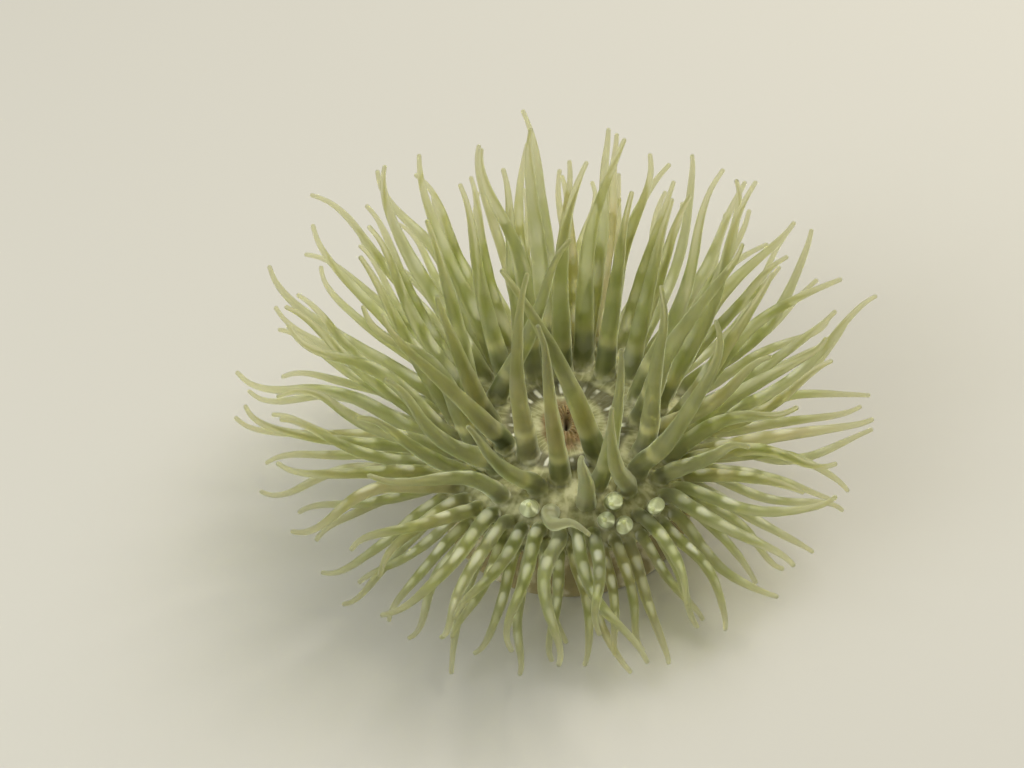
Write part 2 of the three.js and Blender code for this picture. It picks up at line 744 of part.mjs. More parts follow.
const tentacles = layOut();
settleRoots(tentacles);
settlePaths(tentacles);
for (const tentacle of tentacles) {
  tentacle.curve = new THREE.CatmullRomCurve3(tentacle.path);
  tentacle.frames = tentacle.curve.computeFrenetFrames(PATH_STEPS);
}

const ofCycle = (name) => tentacles.filter((tentacle) => tentacle.cycle.name === name);

// The tentacles that grow on one sector of a band, an equal share of each of its cycles.
function membersOf({ cycles, sectors }, index) {
  return cycles.flatMap((name) => {
    const cycle = ofCycle(name);
    const share = cycle.length / sectors;
    return cycle.slice(share * index, share * (index + 1));
  });
}

const body = new THREE.Group();
body.add(
  piece('pedal_disc', pedalDisc(), columnFlesh, new THREE.Vector3(0, 0, 0)),
  piece('column', column(), columnFlesh, new THREE.Vector3(0, 0, FOOT_HEIGHT + GAP)),
  piece('oral_disc', middleOfDisc(), discFlesh, new THREE.Vector3(0, 0, LAYER_HEIGHT)),
  piece('mouth_lips', lips(0), mouthFlesh, new THREE.Vector3(0, 0, LAYER_HEIGHT)),
);

// The twelve tall tentacles stand free on the disc, each in a lower and an upper length.
const tallTentacles = new THREE.Group();
ofCycle('tall').forEach((tentacle, index) => {
  const name = numbered('tall_tentacle', index);
  const middle = tentacle.path[PATH_STEPS / 2];
  tallTentacles.add(
    piece(`${name}_lower`, lowerLength(tentacle), tentacleFlesh, tentacle.root),
    piece(`${name}_upper`, upperLength(tentacle), tentacleFlesh, middle),
  );
});

const crown = new THREE.Group();
for (const [band, bandForm] of Object.entries(BANDS)) {
  for (let index = 0; index < bandForm.sectors; index++) {
    const members = membersOf(bandForm, index);
    const sector = crownSector(band, index, members);
    crown.add(piece(numbered(`crown_${band}`, index), sector, tentacleFlesh, members[0].root));
  }
}

const anemone = new THREE.Group();
anemone.add(body, tallTentacles, crown);

export default anemone;
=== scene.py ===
# %% [markdown]
# # A sea anemone
#
# A living anemone is one unbroken bag of flesh. A muscular column stands on a flat foot, the
# pedal disc. Its top is the oral disc, with a slit of a mouth in the middle, and the tentacles
# grow out of the disc round it. Nothing on the animal is a separate part, so this lesson makes
# one skin over all of it. It could be sculpted, or grown from metaballs, but neither keeps the
# tentacles' exact thickness and order. Here the skin is written down directly: a round disc
# with a hole for every tentacle's foot, and a tube that rises from each hole.

# %% Tools and the frame
import math

import bpy
import numpy as np
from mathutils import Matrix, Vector
from mathutils.geometry import delaunay_2d_cdt


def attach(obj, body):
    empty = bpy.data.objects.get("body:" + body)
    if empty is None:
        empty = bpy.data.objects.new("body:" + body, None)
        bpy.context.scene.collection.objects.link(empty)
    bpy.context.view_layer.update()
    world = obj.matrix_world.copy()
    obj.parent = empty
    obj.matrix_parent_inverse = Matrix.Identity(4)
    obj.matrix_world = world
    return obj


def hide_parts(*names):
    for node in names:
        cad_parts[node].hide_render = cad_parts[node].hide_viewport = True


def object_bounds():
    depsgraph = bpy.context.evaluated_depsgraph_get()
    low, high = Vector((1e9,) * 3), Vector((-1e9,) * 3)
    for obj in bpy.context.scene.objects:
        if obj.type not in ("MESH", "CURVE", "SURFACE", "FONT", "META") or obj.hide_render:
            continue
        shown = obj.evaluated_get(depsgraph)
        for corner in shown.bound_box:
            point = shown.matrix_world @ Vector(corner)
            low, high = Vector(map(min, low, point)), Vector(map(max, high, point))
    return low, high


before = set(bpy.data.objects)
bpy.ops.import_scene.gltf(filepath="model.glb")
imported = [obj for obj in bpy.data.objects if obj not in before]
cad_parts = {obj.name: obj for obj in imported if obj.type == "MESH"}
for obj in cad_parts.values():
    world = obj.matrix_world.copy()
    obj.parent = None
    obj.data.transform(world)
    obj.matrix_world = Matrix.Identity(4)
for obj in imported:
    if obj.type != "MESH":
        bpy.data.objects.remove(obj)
CAD_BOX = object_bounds()
MM = 0.001
print("frame:", len(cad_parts), "nodes, box", CAD_BOX)

# %% [markdown]
# ## The body's own sizes
#
# All sizes are in millimetres, the scale at which such an animal is measured, and turn into
# metres only when the mesh is stored. The disc is flat in the middle, falls away over a
# shoulder that is a quarter of an ellipse, rolls under at its margin and joins the column. The
# column narrows to a waist and spreads again onto the foot. That outline is the same all the
# way round, so the body is a turned form, and one list of places down its side describes it.

# %% Sizes of the body
DISC_HEIGHT = 13.0
FLAT_RADIUS = 8.0
MARGIN_RADIUS = 16.3
MARGIN_HEIGHT = 9.8
SHOULDER_RUN = MARGIN_RADIUS - FLAT_RADIUS
SHOULDER_DROP = DISC_HEIGHT - MARGIN_HEIGHT
# The steepest slope that a tentacle's root may stand on, in degrees.
LOWEST_ROOT = 84
# Where the patch with the feet begins and how far past the margin it ends.
MOUTH_PATCH = 4.6
FEET_PAST_MARGIN = 1.3

# Places down the body's side below the margin, as radius and height.
SIDE = [(16.22, 9.3), (15.85, 8.75), (15.1, 8.2), (14.45, 7.6), (13.7, 6.5), (13.05, 5.3),
        (12.95, 4.4), (13.35, 3.1), (14.1, 2.0), (14.75, 1.45), (15.1, 0.95), (15.12, 0.4),
        (14.95, 0.1), (14.7, 0.0)]

# %% [markdown]
# A turned form is easiest to grow things on when every place has two plain coordinates: how far
# it lies from the mouth along the skin, here called the reach, and its turn round the body. The
# next cell lays a tape measure down the side once, so that later cells can turn a reach into a
# radius and a height.


# %% The tape measure down the side
def shoulder(slope):
    """Radius and height on the shoulder. Slope 0 is its flat edge and 90 is the margin."""
    angle = np.radians(slope)
    return (FLAT_RADIUS + SHOULDER_RUN * np.sin(angle),
            MARGIN_HEIGHT + SHOULDER_DROP * np.cos(angle))


def from_b_to_c(a, b, c, d, t):
    """The place at a share t of the way from b to c, on a smooth line through all four."""
    return 0.5 * (2 * b + (c - a) * t + (2 * a - 5 * b + 4 * c - d) * t ** 2
                  + (3 * b - a - 3 * c + d) * t ** 3)


def rounded(corners, steps):
    """A smooth line through a few corners, with its ends drawn on straight."""
    corners = np.asarray(corners, float)
    ends = np.vstack([2 * corners[0] - corners[1], corners, 2 * corners[-1] - corners[-2]])
    line = [corners[0]]
    for a, b, c, d in zip(ends[:-3], ends[1:-2], ends[2:-1], ends[3:]):
        for t in np.arange(1, steps + 1) / steps:
            line.append(from_b_to_c(a, b, c, d, t))
    return np.array(line)


SIDE_STEPS = 6
slopes = np.linspace(0, 90, 91)
top_line = np.column_stack(shoulder(slopes))
side_line = rounded([top_line[-1]] + SIDE, SIDE_STEPS)
outline = np.vstack([[(0, DISC_HEIGHT)], top_line, side_line[1:], [(0, 0)]])
tape = np.concatenate([[0], np.cumsum(np.hypot(*np.diff(outline, axis=0).T))])
MARGIN_REACH = tape[len(top_line)]
SOLE_REACH = tape[-2]
FEET_REACH = MARGIN_REACH + FEET_PAST_MARGIN


def on_side(reach):
    """Radius and height at a reach, measured down the skin from the mouth."""
    return np.interp(reach, tape, outline[:, 0]), np.interp(reach, tape, outline[:, 1])


def on_body(reach, turn):
    radius, height = on_side(reach)
    return np.stack([radius * np.cos(turn), radius * np.sin(turn), height], axis=-1)


print(f"reach: margin {MARGIN_REACH:.1f}, sole {SOLE_REACH:.1f}, sole's middle {tape[-1]:.1f} mm")

# %% [markdown]
# ## Laying out the tentacles
#
# An anemone adds its tentacles in cycles as it grows. The oldest and tallest stand nearest the
# mouth, and every later cycle is shorter, thinner, more numerous and further out. So the crown
# is written as a rule for each cycle, and each tentacle strays from it a little. Those that stand
# foremost are listed one by one. A list of shapes would hold the same crown, but a rule can be
# read, and it grows another likely animal when one number is changed.

# %% The cycles
# Slope places a cycle on the shoulder. Lifts are the angle above level at the root and at the
# tip, for the near side, the flanks and the far side. A taper of 1 makes a straight cone, and
# more than 1 keeps the tentacle full for longer.
CYCLE_HEADINGS = ("name", "count", "offset", "slope", "length", "root", "root_lift", "tip_lift",
                  "near_shrink", "taper")
CYCLE_ROWS = [("tall", 12, 0.0, 8, 28.0, 1.30, (80, 76, 76), (70, 66, 72), 0.0, 1.1),
              ("third", 12, 0.5, 18, 28.0, 1.25, (78, 74, 74), (70, 64, 70), 0.0, 1.2),
              ("fourth", 24, 0.5, 34, 26.0, 1.05, (50, 56, 62), (38, 56, 70), 0.0, 1.5),
              ("fifth", 48, 0.5, 56, 24.0, 0.84, (20, 33, 46), (-6, 34, 64), 0.20, 1.8),
              ("outer", 64, 0.5, 80, 20.5, 0.68, (-20, 5, 24), (-46, 10, 52), 0.34, 1.8)]
CYCLES = [dict(zip(CYCLE_HEADINGS, row)) for row in CYCLE_ROWS]

# Turn, distance from the middle, length, root radius, lift at root and tip, and aim at root and
# tip, counted from straight outward. A last number makes that tentacle straighter than the rest.
HAND_SET = {
    "tall_5": (152, 9.2, 28.0, 1.30, (72, 76), (195, 200)),
    "tall_6": (176, 9.0, 25.0, 1.30, (72, 80), (30, 50)),
    "tall_7": (204, 9.0, 29.0, 1.30, (58, 66), (0, -6)),
    "tall_8": (228, 6.4, 28.5, 1.35, (86, 92), (0, 10)),
    "tall_9": (265, 8.0, 27.0, 1.22, (80, 88), (0, -90)),
    "tall_10": (306, 6.2, 30.0, 1.40, (74, 64), (-140, -136)),
    "tall_11": (334, 9.6, 27.0, 1.30, (76, 96), (10, -20)),
    "third_7": (220, 10.4, 27.0, 1.25, (52, 74), (2, -10)),
    "third_8": (252, 10.4, 21.0, 1.15, (52, 74), (-28, -30)),
    "third_9": (291, 9.6, 25.0, 1.12, (70, 94), (20, 10)),
    "third_10": (317, 11.2, 28.5, 1.25, (50, 94), (26, 30)),
    "third_11": (350, 11.0, 27.0, 1.20, (54, 66), (-20, -40)),
    "fourth_16": (252, 12.4, 20.0, 1.05, (48, 54), (18, 21), 0.15),
    "fourth_18": (281, 11.6, 22.0, 1.10, (60, 66), (-12, -22)),
    "fourth_19": (294, 12.6, 20.0, 1.00, (50, 50), (-25, -27), 0.15),
    "fourth_20": (307, 11.6, 22.0, 1.10, (66, 74), (-50, -64)),
    "fifth_38": (286, 14.5, 18.0, 0.90, (52, 50), (-17, -18), 0.15),
    "fifth_39": (300, 14.9, 17.0, 0.88, (48, 54), (-33, -32), 0.15),
    "fifth_41": (310, 15.2, 18.0, 0.88, (50, 50), (-44, -46), 0.15),
}
print("tentacles by rule:", sum(cycle["count"] for cycle in CYCLES) - len(HAND_SET),
      "and by hand:", len(HAND_SET))

# %% How a tentacle strays
# Each habit has its own number, from which its chances are drawn, and the most that it strays.
HABITS = dict(length=(1, 0.15), thickness=(2, 0.10), turn=(3, 0.25), root_lift=(4, 8),
              tip_lift=(5, 18), root_aim=(6, 8), tip_aim=(7, 32), hook=(8, 60), bend=(9, 15),
              sway=(10, 15), swerve=(11, 60))
# Share of the last four for a tentacle that is listed one by one.
CALM = 0.5
# By how much of its length the crown reaches further, which way, and how narrow that side is.
REACHES = [(0.09, 152, 8), (-0.14, 334, 12)]
# Slow waves round the crown in which the tips lean together: swing, number of waves, phase.
CROWD_WAVES = [(8, 3, 40), (5, 7, 0)]


def stray(tentacle, habit):
    """A repeatable stray, stirred from the tentacle's number and the habit's."""
    prime = 65521
    tentacle_stride, habit_stride, start = 7919, 104729, 12345
    factor, step, stirs = 17364, 5171, 3
    number, varies = HABITS[habit]
    mixed = (tentacle * tentacle_stride + number * habit_stride + start) % prime
    for _ in range(stirs):
        mixed = (mixed * factor + step) % prime
    return varies * (2 * mixed / prime - 1)


def sine(degrees):
    return math.sin(math.radians(degrees))


def cosine(degrees):
    return math.cos(math.radians(degrees))


def by_side(near_flank_far, turn):
    """A lift at this turn, between those on the near side, the flanks and the far side."""
    near, flank, far = near_flank_far
    to_far = sine(turn)
    return flank + (far - flank) * to_far if to_far > 0 else flank - (near - flank) * to_far


print("first tentacle's strays:", {habit: round(stray(0, habit), 2) for habit in HABITS})


# %% Each tentacle's habits
def onto_disc(point):
    """The place on the disc that a point lies over, and its slope there."""
    radius = math.hypot(point[0], point[1])
    if radius <= FLAT_RADIUS:
        return np.array([point[0], point[1], DISC_HEIGHT]), 0.0
    out = (radius - FLAT_RADIUS) / SHOULDER_RUN
    up = max(0.0, point[2] - MARGIN_HEIGHT) / SHOULDER_DROP
    slope = min(math.degrees(math.atan2(out, up)), LOWEST_ROOT)
    new_radius, height = shoulder(slope)
    scale = new_radius / radius
    return np.array([point[0] * scale, point[1] * scale, height]), slope


def by_rule(cycle, index, number):
    """The habits of a tentacle as its cycle has them, with its own strays."""
    spacing = 360 / cycle["count"]
    even_turn = (index + cycle["offset"]) * spacing
    turn = even_turn + spacing * stray(number, "turn")
    near = max(0.0, -sine(even_turn))
    lean = sum(swing * sine(waves * even_turn + phase) for swing, waves, phase in CROWD_WAVES)
    stretched = 1 + sum(share * max(0.0, cosine(even_turn - towards)) ** narrow
                        for share, towards, narrow in REACHES)
    radius, height = shoulder(cycle["slope"])
    return dict(
        root=np.array([radius * cosine(turn), radius * sine(turn), height]),
        length=(cycle["length"] * (1 + stray(number, "length"))
                * (1 - cycle["near_shrink"] * near) * stretched),
        thickness=cycle["root"] * (1 + stray(number, "thickness")),
        lift=(by_side(cycle["root_lift"], even_turn) + stray(number, "root_lift"),
              by_side(cycle["tip_lift"], even_turn) + stray(number, "tip_lift")),
        aim=(turn + stray(number, "root_aim"), turn + lean + stray(number, "tip_aim")),
        calm=1.0)


def by_hand(turn, out, length, thickness, lift, aim, calm=CALM):
    """The habits of a tentacle that is listed one by one."""
    ahead = max(0, out - FLAT_RADIUS) / SHOULDER_RUN
    root = np.array([out * cosine(turn), out * sine(turn),
                     MARGIN_HEIGHT + SHOULDER_DROP * math.sqrt(1 - ahead ** 2)])
    return dict(root=root, length=length, thickness=thickness, lift=lift,
                aim=(turn + aim[0], turn + aim[1]), calm=calm)


crown = []
for cycle_number, cycle in enumerate(CYCLES):
    for index in range(cycle["count"]):
        pose = HAND_SET.get(f"{cycle['name']}_{index}")
        number = len(crown)
        habits = by_hand(*pose) if pose else by_rule(cycle, index, number)
        habits.update(cycle=cycle_number, taper=cycle["taper"])
        for habit in ("hook", "bend", "sway", "swerve"):
            habits[habit] = habits["calm"] * stray(number, habit)
        crown.append(habits)
print(len(crown), "tentacles")

# %% [markdown]
# ## Settling the crown
#
# Soft neighbours never pass through each other: where two roots crowd, both shift, and where
# two tentacles meet, both give way. A cloth or soft-body simulation could find that, but it
# would be slow for so many thin tubes and hard to repeat. Instead each tentacle is a chain of
# twelve straight steps, and in every round each step that is too near another is pressed away,
# after which the chain is made smooth and its own length again.

# %% Roots that crowd shift apart
STEPS = 12
# Room kept between two tentacles, and the share of a crush that a root gives way by in a round.
CLEARANCE = 0.35
ROOT_ROUNDS = 60
ROOT_SOFTNESS = 0.35
TINY = 1e-9


def of_all(habit):
    """One habit of every tentacle, as an array."""
    return np.array([habits[habit] for habits in crown], float)


def of_each(habit):
    """The same with a row for each tentacle, to go with places along it."""
    return of_all(habit)[:, None]


roots = of_all("root")
thickness = of_all("thickness")
length = of_all("length")
slope_of = np.zeros(len(crown))
wanted = thickness[:, None] + thickness[None, :] + CLEARANCE
np.fill_diagonal(wanted, 0)
for _ in range(ROOT_ROUNDS):
    apart = roots[:, None] - roots[None, :]
    distance = np.linalg.norm(apart, axis=2)
    short = np.maximum(0, wanted - distance)
    push = ROOT_SOFTNESS * short / np.maximum(distance, TINY)
    roots = roots + (apart * push[..., None]).sum(axis=1)
    for k, root in enumerate(roots):
        roots[k], slope_of[k] = onto_disc(root)
gaps = np.linalg.norm(roots[:, None] - roots[None, :], axis=2) - wanted
np.fill_diagonal(gaps, np.inf)
print(f"roots settled, least room between two: {gaps.min() + CLEARANCE:.2f} mm")

# %% A first path for each tentacle
TIP_RADIUS = 0.30
# Share of the length from which a tip may hook, and how far one that droops levels out.
HOOK_START = 0.68
LEVELLING = 0.6


def thickness_at(share):
    """Radius of every tentacle at a share of its length."""
    full = 1 - np.clip(share, 0, 1) ** of_each("taper")
    return TIP_RADIUS + (thickness[:, None] - TIP_RADIUS) * full


share = (np.arange(STEPS) + 0.5)[None, :] / STEPS
curl = np.maximum(0, (share - HOOK_START) / (1 - HOOK_START)) ** 2
wave = np.sin(2 * np.pi * share)
lifts = of_all("lift")
aims = of_all("aim")
hook = of_each("hook") + LEVELLING * np.maximum(0, -lifts[:, 1:])
lift = np.radians(lifts[:, :1] + (lifts[:, 1:] - lifts[:, :1]) * share
                  + hook * curl + of_each("bend") * wave)
aim = np.radians(aims[:, :1] + (aims[:, 1:] - aims[:, :1]) * share
                 + of_each("swerve") * curl + of_each("sway") * wave)
heading = np.stack([np.cos(lift) * np.cos(aim), np.cos(lift) * np.sin(aim), np.sin(lift)], axis=2)
step_length = length / STEPS
paths = np.concatenate([roots[:, None], roots[:, None]
                        + np.cumsum(heading * step_length[:, None, None], axis=1)], axis=1)
print(f"paths from {length.min():.1f} to {length.max():.1f} mm long")


# %% Where two steps come closest
# Steps whose middles are further apart than this can't meet.
SEARCH_RANGE = 6


def closest(a0, a1, b0, b1):
    """Shares along pairs of straight steps at which they come closest."""
    along_a, along_b, between = a1 - a0, b1 - b0, a0 - b0
    square_a = (along_a ** 2).sum(1)
    square_b = (along_b ** 2).sum(1)
    alike = (along_a * along_b).sum(1)
    lead_a = (along_a * between).sum(1)
    lead_b = (along_b * between).sum(1)
    slant = square_a * square_b - alike * alike
    crossing = (alike * lead_b - lead_a * square_b) / np.maximum(slant, TINY)
    on_a = np.where(slant > TINY, np.clip(crossing, 0, 1), 0)
    on_b = (alike * on_a + lead_b) / square_b
    on_a = np.where(on_b < 0, np.clip(-lead_a / square_a, 0, 1), on_a)
    on_a = np.where(on_b > 1, np.clip((alike - lead_a) / square_a, 0, 1), on_a)
    return on_a[:, None], np.clip(on_b, 0, 1)[:, None]


def neighbours(paths):
    """Pairs of steps of two tentacles that lie near each other."""
    middle = (0.5 * (paths[:, 1:] + paths[:, :-1])).reshape(-1, 3)
    near = np.ones((len(middle), len(middle)), bool)
    for axis in range(3):
        near &= np.abs(middle[:, None, axis] - middle[None, :, axis]) < SEARCH_RANGE
    owner = np.repeat(np.arange(len(paths)), STEPS)
    near &= owner[:, None] < owner[None, :]
    first, second = np.nonzero(near)
    return owner[first], first % STEPS, owner[second], second % STEPS


print("pairs to watch:", len(neighbours(paths)[0]))

# %% How a path sags, and what holds it
# Rounds in all, and the rounds from one search for neighbours to the next.
PATH_ROUNDS = 120
SEARCH_EVERY = 8
# Share of a push that a path follows in one round, and how firmly it keeps its first bends.
EAGERNESS = 1.3
STIFFNESS = 0.10
# Steps over which the root end is held, and room left over the floor.
HELD_STEPS = 2
FLOOR_ROOM = 0.5


def sag_of(paths):
    return 0.5 * (paths[:, :-2] + paths[:, 2:]) - paths[:, 1:-1]


node_radius = thickness_at(np.arange(STEPS + 1)[None, :] / STEPS)
rest_sag = sag_of(paths)
freedom = np.minimum(1, np.arange(STEPS + 1) / HELD_STEPS)
print(f"first bends up to {np.linalg.norm(rest_sag, axis=2).max():.2f} mm deep at a joint")

# %% Rounds of giving way
for turn in range(PATH_ROUNDS):
    if turn % SEARCH_EVERY == 0:
        one, k, other, m = neighbours(paths)
    on_one, on_other = closest(paths[one, k], paths[one, k + 1], paths[other, m],
                               paths[other, m + 1])
    apart = (paths[one, k] * (1 - on_one) + paths[one, k + 1] * on_one
             - paths[other, m] * (1 - on_other) - paths[other, m + 1] * on_other)
    room = (node_radius[one, k][:, None] * (1 - on_one) + node_radius[one, k + 1][:, None] * on_one
            + node_radius[other, m][:, None] * (1 - on_other)
            + node_radius[other, m + 1][:, None] * on_other + CLEARANCE)
    distance = np.linalg.norm(apart, axis=1, keepdims=True)
    close = (distance < room)[:, 0]
    push = (0.5 * (room - distance) / np.maximum(distance, TINY) * apart)[close]
    moves = np.zeros_like(paths)
    shares = np.zeros(paths.shape[:2])
    for owner, step, weight, sign in (
            (one, k, 1 - on_one, 1), (one, k + 1, on_one, 1),
            (other, m, 1 - on_other, -1), (other, m + 1, on_other, -1)):
        np.add.at(moves, (owner[close], step[close]), sign * weight[close] * push)
        np.add.at(shares, (owner[close], step[close]), weight[close, 0])
    smooth = paths + moves * (EAGERNESS * freedom / np.maximum(shares, 1))[..., None]
    smooth[:, HELD_STEPS:-1] += STIFFNESS * (sag_of(smooth) - rest_sag)[:, HELD_STEPS - 1:]
    smooth[:, 1:, 2] = np.maximum(smooth[:, 1:, 2], node_radius[:, 1:] + FLOOR_ROOM)
    for step in range(STEPS):
        ahead = smooth[:, step + 1] - smooth[:, step]
        ahead *= (step_length / np.linalg.norm(ahead, axis=1))[:, None]
        smooth[:, step + 1] = smooth[:, step] + ahead
    paths = smooth
print(f"crown settled: {np.ptp(paths[..., 0]):.1f} by {np.ptp(paths[..., 1]):.1f} mm, "
      f"top at {paths[..., 2].max():.1f} mm")

# %% [markdown]
# ## The rings of a tentacle
#
# A tentacle is a soft tube, so its skin is a row of rings strung along its path. A bevelled
# curve would make such a tube at once, but its rings could not be sewn to the disc. Each ring
# needs a direction to count from, and here that is the oral side, the side that faces the
# mouth, because the pale spots lie along it. The direction is carried from ring to ring and
# only straightened against the path, so that the tube bends but never twists. The end is a
# little knob, as on the real animal, closed like a dome.

# %% Where the rings stand
SIDES = 13
TUBE_RINGS = 27
TIP_TURNS = np.radians([90, 68, 46, 24])
# The fillet at the foot, as a share of the length, and its rings.
FOOT_SHARE = 0.075
FILLET_RINGS = 4
# The tip is slimmer than the path's thickness, but for its knob, and ends before the path does.
SLIM_TIP = 0.75
KNOB = 1.12
TIP_INSET = 0.20
count = len(crown)

tip_radius = TIP_RADIUS * SLIM_TIP * KNOB
end_shares = 1 - TIP_INSET / length[:, None]
dome_shares = end_shares - tip_radius * (1 - np.cos(TIP_TURNS[None, :])) / length[:, None]
last_tube = dome_shares[:, :1]
tube_shares = FOOT_SHARE + (last_tube - FOOT_SHARE) * np.linspace(0, 1, TUBE_RINGS)[None, :]
ring_shares = np.concatenate([tube_shares, dome_shares[:, 1:]], axis=1)
RINGS = ring_shares.shape[1]
print(f"{RINGS} rings to a tentacle, {count * RINGS * SIDES} corners on all tubes")


# %% Along a path
JUST_UNDER = 1e-6


def along(paths, shares):
    """Places and headings on smooth curves through the paths' points, at shares of length."""
    ends = np.concatenate([2 * paths[:, :1] - paths[:, 1:2], paths,
                           2 * paths[:, -1:] - paths[:, -2:-1]], axis=1)
    at = np.clip(shares * STEPS, 0, STEPS - JUST_UNDER)
    k = at.astype(int)
    t = (at - k)[..., None]
    rows = np.arange(len(paths))[:, None]
    a, b, c, d = (ends[rows, k + shift] for shift in range(4))
    heading = 0.5 * ((c - a) + 2 * (2 * a - 5 * b + 4 * c - d) * t
                     + 3 * (3 * b - a - 3 * c + d) * t ** 2)
    heading = heading / np.linalg.norm(heading, axis=2, keepdims=True)
    return from_b_to_c(a, b, c, d, t), heading


def unit(vectors):
    return vectors / np.linalg.norm(vectors, axis=-1, keepdims=True)


centres, headings = along(paths, ring_shares)
print(f"tips end within {np.abs(centres[:, -1] - paths[:, -1]).max():.2f} mm of their paths")

# %% The oral side, carried along
slope_angle = np.radians(slope_of)
root_turn = np.arctan2(roots[:, 1], roots[:, 0])


def from_roots(outward, upward):
    """Directions at the roots, by how far they lead away from the body's axis and up."""
    return unit(np.stack([np.cos(root_turn) * outward, np.sin(root_turn) * outward, upward],
                         axis=1))


inward = from_roots(-np.cos(slope_angle) * SHOULDER_RUN, np.sin(slope_angle) * SHOULDER_DROP)
oral = np.zeros_like(headings)
carried = inward
for ring in range(RINGS):
    straight = headings[:, ring]
    carried = unit(carried - straight * (carried * straight).sum(1, keepdims=True))
    oral[:, ring] = carried
aside = np.cross(headings, oral)
most_turned = np.degrees(np.arccos((oral[:, 0] * inward).sum(1).min()))
print(f"oral side turned by up to {most_turned:.0f} degrees from the disc at the root")

# %% [markdown]
# A real tentacle isn't quite round or quite smooth: its wall swells and shrinks a little where
# its ring muscles lie slack, and it is slightly flattened on the oral side. Those small
# differences keep the crown from looking machined. They are a few hundredths of a millimetre
# deep, so they are in the mesh as slow waves, each tentacle with a phase of its own.

# %% The skin of each ring
# Depth of a swelling as a share of the radius, its pace along the tentacle, and its shift from
# one tentacle to the next.
SWELLINGS = [(0.035, 21, 1), (0.02, 47, 3)]
KNOB_LENGTH = 2.6 * TIP_RADIUS
FLATTENING = 0.96
phase = np.array([stray(k, "hook") for k in range(count)])[:, None]
swell = 1
for depth, pace, shift in SWELLINGS:
    swell = swell + depth * np.sin(pace * ring_shares + shift * phase)
knob = 1 + (KNOB - 1) * np.exp(-((1 - ring_shares) * length[:, None] / KNOB_LENGTH) ** 2)
slim = 1 - (1 - SLIM_TIP) * ring_shares ** 4
ring_radius = thickness_at(ring_shares) * swell * knob * slim
dome_start = TUBE_RINGS - 1
ring_radius[:, dome_start:] = ring_radius[:, dome_start:dome_start + 1] * np.sin(TIP_TURNS)[None, :]
angles = 2 * np.pi * np.arange(SIDES) / SIDES
tubes = (centres[:, :, None]
         + oral[:, :, None] * (FLATTENING * ring_radius[..., None] * np.cos(angles))[..., None]
         + aside[:, :, None] * (ring_radius[..., None] * np.sin(angles))[..., None])
end_points = along(paths, end_shares)[0][:, 0]
print(f"ring radii from {ring_radius[:, 0].max():.2f} at a root to "
      f"{ring_radius[:, dome_start].min():.2f} mm at a tip")

# %% [markdown]
# ## The foot of a tentacle
#
# Where a tentacle leaves the disc, the skin sweeps up in a small fillet. A Boolean union would
# leave a hard edge there instead, and a bevel of that edge fails where feet crowd. So each foot
# is a circle drawn on the disc, a little wider than the tentacle, and a few rings lead from it
# into the tube. Every corner follows a curve that sets out partly upright from the disc and
# partly straight to its tube. It arrives along the tentacle's heading, so that no crease shows
# where the tube begins.

# %% Feet on the disc
FOOT_SPREAD = 0.13
root_radius = np.hypot(roots[:, 0], roots[:, 1])
root_reach = np.where(slope_of > 0, np.interp(slope_of, slopes, tape[1:len(top_line) + 1]),
                      root_radius)
foot_radius = thickness + FOOT_SPREAD
foot_reach = root_reach[:, None] - foot_radius[:, None] * np.cos(angles)
foot_turn = root_turn[:, None] - foot_radius[:, None] * np.sin(angles) / root_radius[:, None]
feet = on_body(foot_reach, foot_turn)
print(f"lowest foot reaches {foot_reach.max():.1f} mm, the disc's patch ends at {FEET_REACH:.1f}")

# %% Fillets between disc and tube
# Share by which a fillet leaves for its tube, not straight up, and how hard it pulls at its end.
STRAIGHT_SHARE = 0.6
ARRIVAL = 0.9
disc_normal = from_roots(np.sin(slope_angle) * SHOULDER_DROP,
                         np.cos(slope_angle) * SHOULDER_RUN)
rise = (FOOT_SHARE * length)[:, None, None]
leave = rise * (unit(tubes[:, 0] - feet) * STRAIGHT_SHARE
                + disc_normal[:, None] * (1 - STRAIGHT_SHARE))
arrive = rise * headings[:, :1] * ARRIVAL
fillets = []
# A cubic curve from foot to tube that has these directions at its ends.
for t in np.arange(1, FILLET_RINGS + 1) / (FILLET_RINGS + 1):
    fillets.append((2 * t ** 3 - 3 * t ** 2 + 1) * feet + (t ** 3 - 2 * t ** 2 + t) * leave
                   + (3 * t ** 2 - 2 * t ** 3) * tubes[:, 0] + (t ** 3 - t ** 2) * arrive)
fillets = np.stack(fillets, axis=1)
rows_of_rings = np.concatenate([feet[:, None], fillets, tubes], axis=1)
ROWS = rows_of_rings.shape[1]
row_shares = np.concatenate([np.repeat(np.linspace(0, FOOT_SHARE, FILLET_RINGS + 2)[None, :-1],
                                       count, axis=0), ring_shares], axis=1)
print(ROWS, "rings from foot to tip")

# %% [markdown]
# ## The disc between the feet
#
# The disc's own skin has to fill the odd-shaped places between the feet. It is cut out as a
# flat pattern first, as a glover would: reach and turn become a place on a flat sheet, every
# foot is a hole in the sheet, and Blender's Delaunay tool fills the rest with even triangles.
# The filled pattern is then folded back onto the body.

# %% The flat pattern
# Corners in a ring round the body.
AROUND = 192
# Points keep this far apart in a row, rows a little less, and both stay off feet and rim.
SHEET_SPACING = 0.52
ROW_SPACING = SHEET_SPACING * 0.87
FOOT_GAP = 0.2
RIM_GAP = 0.3


def on_sheet(reach, turn):
    return np.stack([reach * np.cos(turn), reach * np.sin(turn)], axis=-1)


ring_turns = 2 * np.pi * np.arange(AROUND) / AROUND
feet_sheet = on_sheet(foot_reach, foot_turn)
root_sheet = on_sheet(root_reach, root_turn)
inner_rim = on_sheet(MOUTH_PATCH, ring_turns)
outer_rim = on_sheet(FEET_REACH, ring_turns)

